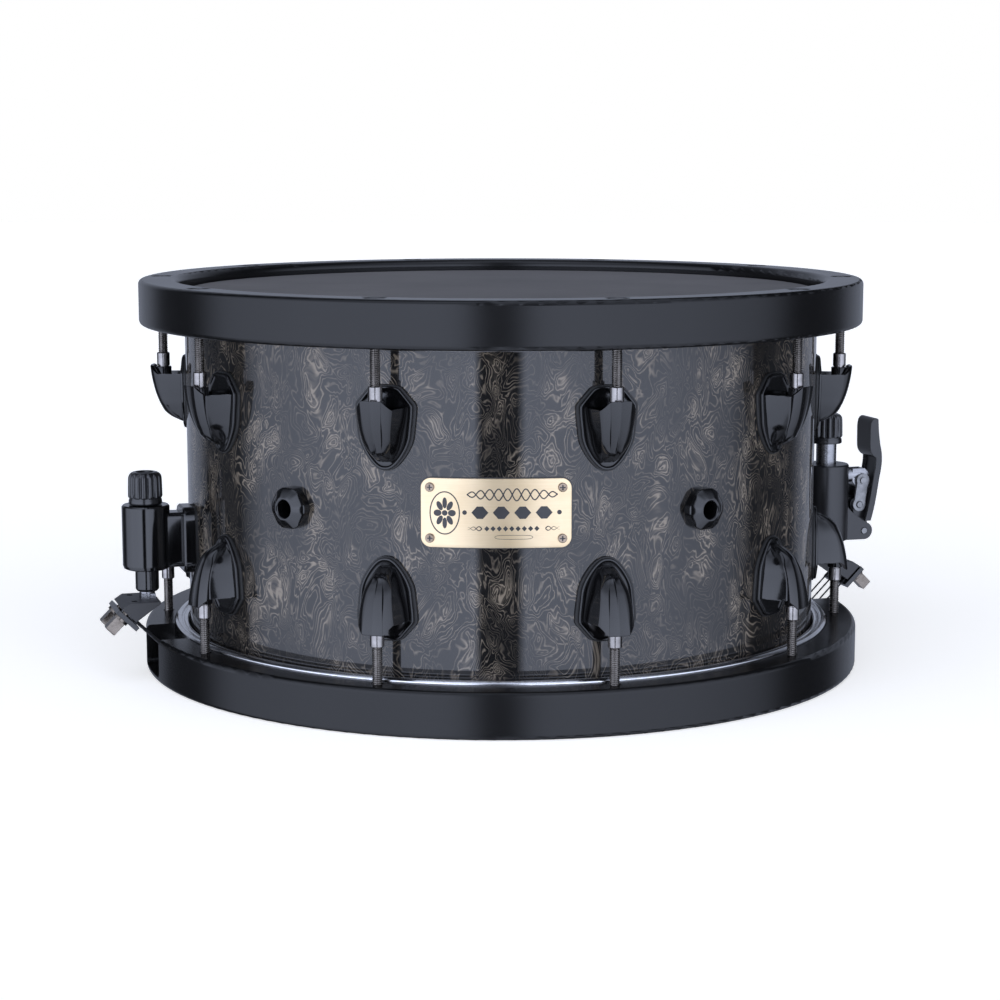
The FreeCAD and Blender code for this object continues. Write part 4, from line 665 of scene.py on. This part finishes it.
def gloss_black(name, tint=(0.003, 0.003, 0.0033), rough=0.1, coat=0.3, edge=0.0, peel=0.02):
    """Black powder coat under clear: faint orange peel in the bump, slow change of gloss over the surface. An edge
    radius rounds the light on a square-cut corner."""
    material, tree, out = new_material(name)
    place = object_place(tree)
    orange = noise(tree, place, 900.0, 2.0, 0.5)
    slow = noise(tree, place, 60.0, 3.0, 0.6)
    bump = relief(tree, orange.outputs[0], peel, 0.0001)
    shade = ramp(tree, slow.outputs[0], [(0.3, tint), (0.75, tuple(1.7 * c for c in tint))])
    gloss = node(tree, "ShaderNodeMapRange", Value=slow.outputs[0], To_Min=rough * 0.8, To_Max=rough * 1.35)
    coatings = surface(tree, out, shade, gloss.outputs[0], bump, Coat_Weight=coat, Coat_Roughness=0.03)
    if edge:
        soft = node(tree, "ShaderNodeBevel", {"samples": 4}, Radius=edge)
        tree.links.new(soft.outputs[0], bump.inputs["Normal"])
        tree.links.new(soft.outputs[0], coatings.inputs["Coat Normal"])
    return material


def gasket_rubber():
    """Moulded rubber: matt, with a fine open grain."""
    material, tree, out = new_material("gasket_rubber")
    place = object_place(tree)
    grain = noise(tree, place, 1800.0, 3.0, 0.7)
    shade = ramp(tree, grain.outputs[0], [(0.3, (0.008, 0.008, 0.008)), (0.7, (0.018, 0.018, 0.018))])
    bump = relief(tree, grain.outputs[0], 0.3, 0.00015)
    surface(tree, out, shade, 0.55, bump)
    return material


lug_black = gloss_black("lug_black", coat=0.12)
rubber = gasket_rubber()
SEAT_PROFILE = np.array([(3.2, 9.0), (3.2, 0.9), (3.5, 0.6), (4.2, 0.6), (4.5, 0.9), (4.5, 9.0)])
lug_seat = turned_rod(SEAT_PROFILE + [0, LUG_BEAK], 32)
lug_parts = (lug_body(), lug_plate())
GASKET_EDGE = [(-1.6, 0.0), (0.55, 0.0), (0.7, 0.4), (0.7, 1.1), (0.55, 1.5), (-1.6, 1.5)]
gasket_rows = np.stack([on_shell(shield(GASKET_HALF, grow), lift) for grow, lift in GASKET_EDGE])
gaskets = []
LUG_ROWS = ((True, "upper_lug_castings", "upper_lugs"), (False, "lower_lug_castings", "lower_lugs"))
for top, name, lug_node in LUG_ROWS:
    castings = []
    for angle in ROD_ANGLES:
        for loops, first, last in lug_parts:
            castings.append(skin_through(*(round_drum(p, angle, top) for p in (loops, first, last))))
        castings.append(skin_through(round_drum(lug_seat, angle, top), ring=True))
        gaskets.append(skin_through(round_drum(gasket_rows, angle, top), ring=True))
    piece(name, castings, lug_black, [lug_node], crease=50.0)
piece("lug_cushions", gaskets, rubber, ["lug_gaskets"])

# --------------------------------------------------------------------------------------------------
# Key rods. Steel with a rolled 24 to the inch thread and a square key head on a flange, dark nickel plated. Each
# turns in its own lug.

ROD_RADIUS, THREAD_PITCH, THREAD_DEPTH = 2.7, 25.4 / 24, 0.38
# Key square and flange: radius, depth below the hoop's outer face, and 1 where the section is square.
ROD_HEAD = [
    (2.5, 1.0, 1), (3.0, 1.15, 1), (3.15, 1.5, 1), (3.15, 8.0, 1), (3.4, 8.18, 0),
    (4.6, 8.2, 0), (4.9, 8.5, 0), (4.9, 9.5, 0), (4.6, 9.78, 0), (2.7, 9.78, 0),
]


def key_rod():
    """Radius by turn and depth: a squared head, r = h / (|cos|^9 + |sin|^9)^(1/9), then a flange, then a thread whose
    groove runs down one pitch for each turn."""
    turn = np.arange(24) * 2 * math.pi / 24
    head = np.asarray(ROD_HEAD)
    square = (np.abs(np.cos(turn)) ** 9 + np.abs(np.sin(turn)) ** 9) ** (-1 / 9)
    radius = head[:, 0][:, None] * np.where(head[:, 2][:, None] > 0, square, 1.0)
    depth = np.arange(21.5, 45.5, THREAD_PITCH / 6)
    phase = (depth[:, None] / THREAD_PITCH - turn / (2 * math.pi)) % 1.0
    fade = np.clip(np.minimum(depth - 21.5, 45.5 - depth), 0, 1)[:, None]
    thread = ROD_RADIUS - THREAD_DEPTH * fade * np.clip(1.25 * np.abs(2 * phase - 1) - 0.1, 0, 1)
    tail = np.array([(ROD_RADIUS, 46.0), (ROD_RADIUS, 61.0), (1.9, 62.0)])
    radius = np.concatenate([radius, thread, np.broadcast_to(tail[:, :1], (3, 24))])
    depth = np.concatenate([head[:, 1], depth, tail[:, 1]])[:, None]
    loops = spots(radius * np.cos(turn), ROD_OUT + radius * np.sin(turn), depth)
    return loops, np.array([0, ROD_OUT, 1.0]), np.array([0, ROD_OUT, 62.0])


rod_nickel = plated("rod_nickel", (0.17, 0.155, 0.14), (0.27, 0.25, 0.23), 0.22, edge=0.0001)
rod_loops = key_rod()
for top, end in ((True, "upper"), (False, "lower")):
    for k, angle in enumerate(ROD_ANGLES, start=1):
        rod_name = f"tension_rod_{end}_{k:02d}"
        rod_shape = skin_through(*(round_drum(p, angle, top) for p in rod_loops))
        key_name = f"key_rod_{end}_{k:02d}"
        piece(key_name, [rod_shape], rod_nickel, [rod_name], body=rod_name, crease=40.0)

# --------------------------------------------------------------------------------------------------
# Badge. A thin brass plate bent to the shell, brushed and lacquered, with black enamel ornament: a rosette in an
# oval, a row of hexagons between dots, twining waves and small scrolls. Four cross-head screws hold it, each with a
# dark cross laid on its head as painted shade in its cross recess.

badge_low, badge_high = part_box("badge_plate")
BADGE_HALF = float(badge_high.x - badge_low.x) / 2 / MM
BADGE_TALL = float(badge_high.z - badge_low.z) / MM
BADGE_MIDDLE = float(badge_high.z + badge_low.z) / 2 / MM
BADGE_FACE = 1.3


def on_badge(t, z, lift):
    """Place on the badge in mm, sideways and up from its middle, as (sideways, outside the shell, height)."""
    wall = SHELL_RADIUS / MM
    t, z, lift = np.broadcast_arrays(t, z, lift)
    return np.stack([t, np.sqrt((wall + lift) ** 2 - t ** 2) - wall, BADGE_MIDDLE + z], axis=-1)


def badge_outline(grow):
    """Rounded rectangle, points in mm, with its straight sides filled so that it can follow the shell."""
    half, tall = BADGE_HALF + grow, BADGE_TALL / 2 + grow
    outline = rounded_corners([(-half, -tall, 5.0), (half, -tall, 5.0), (half, tall, 5.0), (-half, tall, 5.0)], 12)
    steps = np.concatenate([outline, np.roll(outline, -1, 0)], axis=1)
    fill = np.linspace(0, 1, 9)[:-1]
    filled = []
    for start, end in ((step[:2], step[2:]) for step in steps):
        shares = fill if np.hypot(*(end - start)) > 3 else fill[:1]
        filled += [start * (1 - share) + end * share for share in shares]
    return np.array(filled)


def badge_plate():
    """The outline drawn in over its rim and then shrunk towards its middle so that it keeps the shell's curve."""
    outline = badge_outline(0.0)
    rows = []
    rim = [(0.97, 0.03), (1.0, 0.03), (1.0, 1.05), (0.996, 1.25)]
    for shrink, lift in rim + [(share, BADGE_FACE) for share in np.linspace(0.99, 0.08, 14)]:
        rows.append(on_badge(outline[:, 0] * shrink, outline[:, 1] * shrink, lift))
    return np.stack(rows), on_badge(0.0, 0.0, 0.03), on_badge(0.0, 0.0, BADGE_FACE)


def raised_line(t, z, width, closed=False, face=BADGE_FACE):
    """Raised line along a path on a face: a low flat section held square to the path."""
    path = np.stack([t, z], axis=1)
    ahead = np.roll(path, -1, 0) - np.roll(path, 1, 0) if closed else np.gradient(path, axis=0)
    square = np.stack([-ahead[:, 1], ahead[:, 0]], axis=1) / np.hypot(*ahead.T)[:, None]
    side = square * np.reshape(width, (-1, 1)) / 2
    section = ((-1, -0.1), (-1, 0.06), (1, 0.06), (1, -0.1))
    rows = np.stack([on_badge(*(path + way * side).T, face + lift) for way, lift in section], axis=1)
    if closed:
        return rows, None, None
    return rows, rows[0].mean(axis=0), rows[-1].mean(axis=0)


def enamel_spot(t, z):
    """Filled flat shape inside an outline."""
    middle = np.mean(t), np.mean(z)
    rows = np.stack([on_badge(t, z, BADGE_FACE - 0.1), on_badge(t, z, BADGE_FACE + 0.06)])
    return rows, on_badge(*middle, BADGE_FACE - 0.1), on_badge(*middle, BADGE_FACE + 0.06)


def badge_marks():
    turn = np.arange(48) * 2 * math.pi / 48
    marks = [raised_line(-25.5 + 7.3 * np.cos(turn), 10.6 * np.sin(turn), 0.6, True)]
    marks.append(enamel_spot(-25.5 + 1.4 * np.cos(turn), 1.4 * np.sin(turn)))
    for k in range(8):
        lean = k * math.pi / 4
        leaf_long, leaf_wide = 4.2 + 2.3 * np.cos(turn), 1.35 * np.sin(turn)
        leaf_t = leaf_long * math.sin(lean) + leaf_wide * math.cos(lean)
        leaf_z = leaf_long * math.cos(lean) - leaf_wide * math.sin(lean)
        marks.append(enamel_spot(-25.5 + 0.85 * leaf_t, 1.2 * leaf_z))
    along = np.linspace(-14.5, 30.5, 240)
    swell = 2.8 * np.sin((along + 14.5) / 45 * math.pi) ** 0.5 + 0.2
    for phase in (0.0, math.pi):
        marks.append(raised_line(along, 9.4 + swell * np.sin((along + 14.5) / 45 * 10 * math.pi + phase), 0.62))
    for t in (-8.0, 2.6, 13.2, 23.8):
        corner = np.array([(-4.2, 0), (-1.5, -3.1), (1.5, -3.1), (4.2, 0), (1.5, 3.1), (-1.5, 3.1)])
        marks.append(enamel_spot(t + corner[:, 0], 0.4 + corner[:, 1]))
    for t in (-15.6, 31.4):
        marks.append(enamel_spot(t + 1.15 * np.cos(turn), 0.4 + 1.15 * np.sin(turn)))
    for t in np.arange(-4.6, 23.0, 3.1):
        marks.append(enamel_spot(t + np.array([-1.3, 0, 1.3, 0]), -7.6 + np.array([0, -1.35, 0, 1.35])))
    curl = np.linspace(0, 1, 40)
    for middle, way in ((-10.6, -1), (28.0, 1)):
        for side in (-1, 1):
            wave = side * 1.1 * np.sin(curl * 2.5 * math.pi) * (1 - 0.4 * curl)
            marks.append(raised_line(middle + way * (curl * 7 - 3.5), -7.6 + wave, 0.45 * (1.2 - curl)))
    # Painted shade: a dark cross laid over each screw head stands for the shade in its cross recess.
    for t, z in ((s * (BADGE_HALF - 4.6), u * (BADGE_TALL / 2 - 4.6)) for s in (-1, 1) for u in (-1, 1)):
        bar, still = np.linspace(-1.3, 1.3, 4), np.zeros(4)
        marks += [raised_line(t + a, z + b, 0.55, face=BADGE_FACE + 1.08) for a, b in ((bar, still), (still, bar))]
    # A thin dark line lies on the shell close round the plate's edge.
    marks.append(raised_line(*badge_outline(0.15).T, 0.55, True, 0.45))
    blunt = np.sign(np.cos(turn)) * np.abs(np.cos(turn)) ** 0.35
    marks.append(raised_line(8.8 + 9.4 * blunt, -11.9 + 1.0 * np.sin(turn), 0.2, True))
    return marks


def brushed_brass():
    """Rolled brass brushed level, lacquered, with a slow warm stain."""
    material, tree, out = new_material("brushed_brass")
    place = object_place(tree)
    stretched = node(tree, "ShaderNodeMapping", Vector=place, Scale=(60.0, 60.0, 5200.0))
    lines = noise(tree, stretched.outputs[0], 1.0, 4.0, 0.6)
    cloud = noise(tree, place, 45.0, 3.0, 0.5)
    tones = [(0.3, (0.64, 0.49, 0.29)), (0.7, (0.80, 0.64, 0.42))]
    shade = ramp(tree, mixture(tree, lines, 0.35, cloud), tones)
    bump = relief(tree, lines.outputs[0], 0.12, 0.00005)
    surface(tree, out, shade, 0.33, bump, Metallic=1.0, Coat_Weight=0.3, Coat_Roughness=0.1)
    return material


def at_front(rows, first=None, last=None):
    """Places given as (sideways, outside the shell, height) in mm, stood at the drum's front."""
    placed = (None if points is None else round_drum(points, 0, False) for points in (rows, first, last))
    return skin_through(*placed, ring=first is None)


piece("badge", [at_front(*badge_plate())], brushed_brass(), ["badge_plate"], crease=30.0)
# One dark finish serves the enamel ornament and the painted shade on the screw heads.
enamel_and_screw_shade = gloss_black("screw_shade_and_enamel_black", tint=(0.02, 0.02, 0.022), rough=0.3, coat=0.0)
piece("badge_enamel_and_screw_shade", [at_front(*mark) for mark in badge_marks()], enamel_and_screw_shade)
dress(["badge_screws"], plated("blackened_screw", (0.22, 0.17, 0.12), (0.38, 0.30, 0.23), 0.3))

# --------------------------------------------------------------------------------------------------
# Vents. Turned and milled brass grommets, gloss black: six facets run in to a round nose, and a tube goes through
# the shell to its nut.

# Nose: share of the outline and height above the shell. Bore and tube: radius and height.
VENT_FACETS = [(1.0, 0.5), (1.0, 3.9), (0.975, 4.5), (0.93, 4.95), (0.74, 6.3), (0.60, 7.25)]
VENT_BORE = [
    (5.7, 7.6), (5.1, 7.6), (4.7, 7.3), (4.5, 6.9), (4.5, -15.3),
    (4.7, -15.5), (5.7, -15.5), (5.9, -15.3), (5.9, -1.0),
]


def vent():
    """Loops by turn: a hexagon turned off at its corners, eased into a circle at the nose, then the bore back through
    the shell and the tube outside it."""
    turn = np.arange(96) * 2 * math.pi / 96
    hexagon = 10.48 / np.cos((turn + math.pi / 6) % (math.pi / 3) - math.pi / 6)
    outline = np.minimum(hexagon, 11.2 + 0 * turn) - 0.25 * np.abs(np.sin(3 * turn)) ** 6
    t, z = outline * np.sin(turn), outline * np.cos(turn)
    seated = np.sqrt((SHELL_RADIUS / MM) ** 2 - t ** 2) - SHELL_RADIUS / MM + 0.02
    rows = [spots(t, seated, z)]
    rows += [spots(t * share, out, z * share) for share, out in VENT_FACETS]
    rows += [spots(radius * np.sin(turn), out, radius * np.cos(turn)) for radius, out in VENT_BORE]
    return np.stack(rows) + [0, 0, VENT_HEIGHT / MM]


piece("vent_grommets", [skin_through(round_drum(vent(), angle, False), ring=True) for angle in VENT_ANGLES],
      gloss_black("vent_black"), ["vent_bolts"], crease=22.0)

# --------------------------------------------------------------------------------------------------
# Butt end and throw-off castings. Gloss black columns on curved feet with rubber behind; the lever is satin black,
# the clamp wedges are satin grey and their key bolts bronze.

cast_black = gloss_black("cast_black", edge=0.0006)
dress(["butt_housing"], cast_black)
cast_satin = gloss_black("cast_satin", tint=(0.008, 0.008, 0.009), rough=0.3, coat=0.15, edge=0.0006)
dress(["throwoff_housing"], cast_satin)
dress(["throwoff_lever"], gloss_black("lever_satin", tint=(0.009, 0.009, 0.010), rough=0.28, coat=0.1, edge=0.0009))
dress(["butt_clamp_jaw", "throwoff_clamp_jaw"], gloss_black("jaw_black", rough=0.2, coat=0.3, edge=0.0005))
wedge_grey = gloss_black("wedge_grey", tint=(0.018, 0.018, 0.019), rough=0.4, coat=0.0, edge=0.0006)
dress(["butt_clamp_block", "throwoff_clamp_block"], wedge_grey)
dress(["bracket_gaskets"], rubber)
steel = plated("brushed_steel", (0.20, 0.20, 0.205), (0.34, 0.34, 0.35), 0.26, edge=0.0003)
dress(["butt_stem", "throwoff_stem", "throwoff_carriage"], steel)
link_steel = plated("link_steel", (0.15, 0.15, 0.15), (0.27, 0.27, 0.27), 0.38, edge=0.0004)
dress(["link_plates", "link_rivets", "lever_pivot_pin", "lever_link_pin"], link_steel)
bolt_bronze = plated("bolt_bronze", (0.14, 0.12, 0.10), (0.24, 0.21, 0.18), 0.25, edge=0.0004)
dress(["butt_clamp_bolts", "throwoff_clamp_bolts"], bolt_bronze)

# --------------------------------------------------------------------------------------------------
# Tension knobs. Cast with fourteen flutes and a domed, dished crown, black, each on its steel tension screw that
# runs down through the column.

COLUMN_OUT = 26.0
FLUTES = 14
# Radius, height above the knob's foot, and depth of the flutes there as a share of the full depth.
KNOB_PROFILE = [
    (1.9, -36.0, 0), (2.5, -35.4, 0), (2.5, 0.0, 0), (8.4, 0.0, 0), (8.9, 0.2, 0), (9.1, 0.7, 0),
    (9.0, 2.4, 0), (8.7, 3.0, 0), (8.7, 3.5, 0), (9.3, 4.1, 0.3), (9.4, 4.6, 1), (9.35, 8.0, 1),
    (9.25, 12.0, 1), (9.15, 14.4, 1), (8.95, 15.4, 0.9), (8.5, 16.3, 0.6), (7.7, 17.1, 0.2),
    (6.7, 17.6, 0), (5.6, 17.8, 0), (5.0, 17.7, 0), (4.6, 17.2, 0), (4.3, 16.9, 0),
]


def knob(base, angle):
    """Radius by turn and height: each flute takes 1.3 mm off as a narrow groove, ((1 + cos 14a) / 2)^2.2."""
    turn = np.arange(FLUTES * 12) * 2 * math.pi / (FLUTES * 12)
    profile = np.asarray(KNOB_PROFILE)
    groove = ((1 + np.cos(FLUTES * turn)) / 2) ** 2.2
    radius = profile[:, :1] - 1.3 * profile[:, 2:] * groove
    loops = spots(radius * np.cos(turn), COLUMN_OUT + radius * np.sin(turn), base + profile[:, 1:2])
    ends = (np.array([0, COLUMN_OUT, base - 36.0]), np.array([0, COLUMN_OUT, base + 16.8]))
    return skin_through(*(round_drum(p, angle, False) for p in (loops, *ends)))


knob_black = gloss_black("knob_black", tint=(0.008, 0.008, 0.009), rough=0.22, coat=0.35)
for end, angle in (("throwoff", 108), ("butt", -72)):
    cad_knob = f"{end}_knob"
    shape = knob(float(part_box(cad_knob)[0].z) / MM + 36.0, angle)
    piece(f"{end}_fluted_knob", [shape], knob_black, [cad_knob], body=cad_knob, crease=40.0)

# --------------------------------------------------------------------------------------------------
# Snares. Twenty coiled steel wires soldered to two end plates, tied by four black nylon cords at each end that
# pass under the head, out through the gate and up into the clamps.

WIRE_COUNT, WIRE_GAP, WIRE_RADIUS, WIRE_LEVEL, WIRE_HALF = 20, 2.0, 0.7, 5.6, 127.0
COIL_PITCH = 1.5


def on_snare_line(points, angle=108):
    """Points in mm as (sideways, from the drum's axis, height) along the snares' line."""
    return round_drum(points - [0, SHELL_RADIUS / MM, 0], angle, False)


def coiled_wire(across):
    """A coil as a tube whose radius rises and falls along a helix: r = 0.7 - 0.24 |2 (y / pitch - a / 2 pi) - 1|."""
    turn = np.arange(6) * 2 * math.pi / 6
    along = np.arange(-WIRE_HALF, WIRE_HALF, COIL_PITCH / 3)[:, None]
    phase = (along / COIL_PITCH - turn / (2 * math.pi)) % 1.0
    radius = WIRE_RADIUS - 0.24 * np.abs(2 * phase - 1)
    loops = spots(across + radius * np.cos(turn), along, WIRE_LEVEL + radius * np.sin(turn))
    ends = (loops[0].mean(axis=0), loops[-1].mean(axis=0))
    return skin_through(*(on_snare_line(p) for p in (loops, *ends)))


snare_steel = plated("snare_steel", (0.42, 0.42, 0.43), (0.62, 0.62, 0.64), 0.25, grain=(900.0, 900.0, 900.0))
wires = [coiled_wire((k - (WIRE_COUNT - 1) / 2) * WIRE_GAP) for k in range(WIRE_COUNT)]
piece("coiled_wires", wires, snare_steel, ["snare_wires"], crease=80.0)
dress(["snare_end_plates"], snare_steel)

CORD_RADIUS = 0.5
# The cord's way: distance from the drum's axis, and height.
CORD_ROUTE = np.array([
    (127.0, 4.4), (160.0, 4.4), (175.0, 4.4), (183.0, 5.2), (190.0, 11.55), (202.0, 23.55), (213.4, 34.95),
])


def cord(across, start, end, angle):
    """Round cord along the route's curve, with a twist of two strands in its section."""
    pace = np.linspace(0, len(CORD_ROUTE) - 1, 400)
    knots = np.arange(len(CORD_ROUTE))
    line = np.stack([np.interp(pace, knots, CORD_ROUTE[:, k]) for k in (0, 1)], axis=1)
    for _ in range(60):
        line[1:-1] = 0.25 * line[:-2] + 0.5 * line[1:-1] + 0.25 * line[2:]
    line = line[int(start * 399):int(end * 399) + 1]
    ahead = np.gradient(line, axis=0)
    lift = np.stack([-ahead[:, 1], ahead[:, 0]], axis=1) / np.hypot(*ahead.T)[:, None]
    far = np.concatenate([[0], np.cumsum(np.hypot(*np.diff(line, axis=0).T))])[:, None]
    turn = np.arange(10) * 2 * math.pi / 10
    radius = CORD_RADIUS * (0.93 + 0.07 * np.cos(2 * (turn - far / 1.2)))
    spread = (radius * np.sin(turn))[..., None] * lift[:, None, :]
    loops = np.concatenate([(across + radius * np.cos(turn))[..., None], line[:, None, :] + spread], axis=-1)
    ends = (loops[0].mean(axis=0), loops[-1].mean(axis=0))
    return skin_through(*(on_snare_line(p, angle) for p in (loops, *ends)))


def braided_nylon():
    """Braided cord: tight slanting strands in colour and bump."""
    material, tree, out = new_material("braided_nylon")
    place = object_place(tree)
    strands = noise(tree, place, 2600.0, 2.0, 0.6)
    shade = ramp(tree, strands.outputs[0], [(0.3, (0.006, 0.006, 0.007)), (0.7, (0.024, 0.024, 0.026))])
    bump = relief(tree, strands.outputs[0], 0.5, 0.0001)
    surface(tree, out, shade, 0.5, bump)
    return material


cord_black = braided_nylon()
cord_spots = [7.6 * (k - 1.5) for k in range(4)]
for end, angle, mover in (("throwoff", 108, "carriage"), ("butt", -72, "butt_clamp")):
    run_end = 0.9 if end == "throwoff" else 1.0
    shapes = [cord(spot, 0.0, run_end, angle) for spot in cord_spots]
    run = piece(f"{end}_snare_cords", shapes, cord_black, [f"{end}_cords"], body=None)
    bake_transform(run)
held = [cord(spot, 0.87, 1.0, 108) for spot in cord_spots]
piece("throwoff_cord_ends", held, cord_black, body="throwoff_clamp")
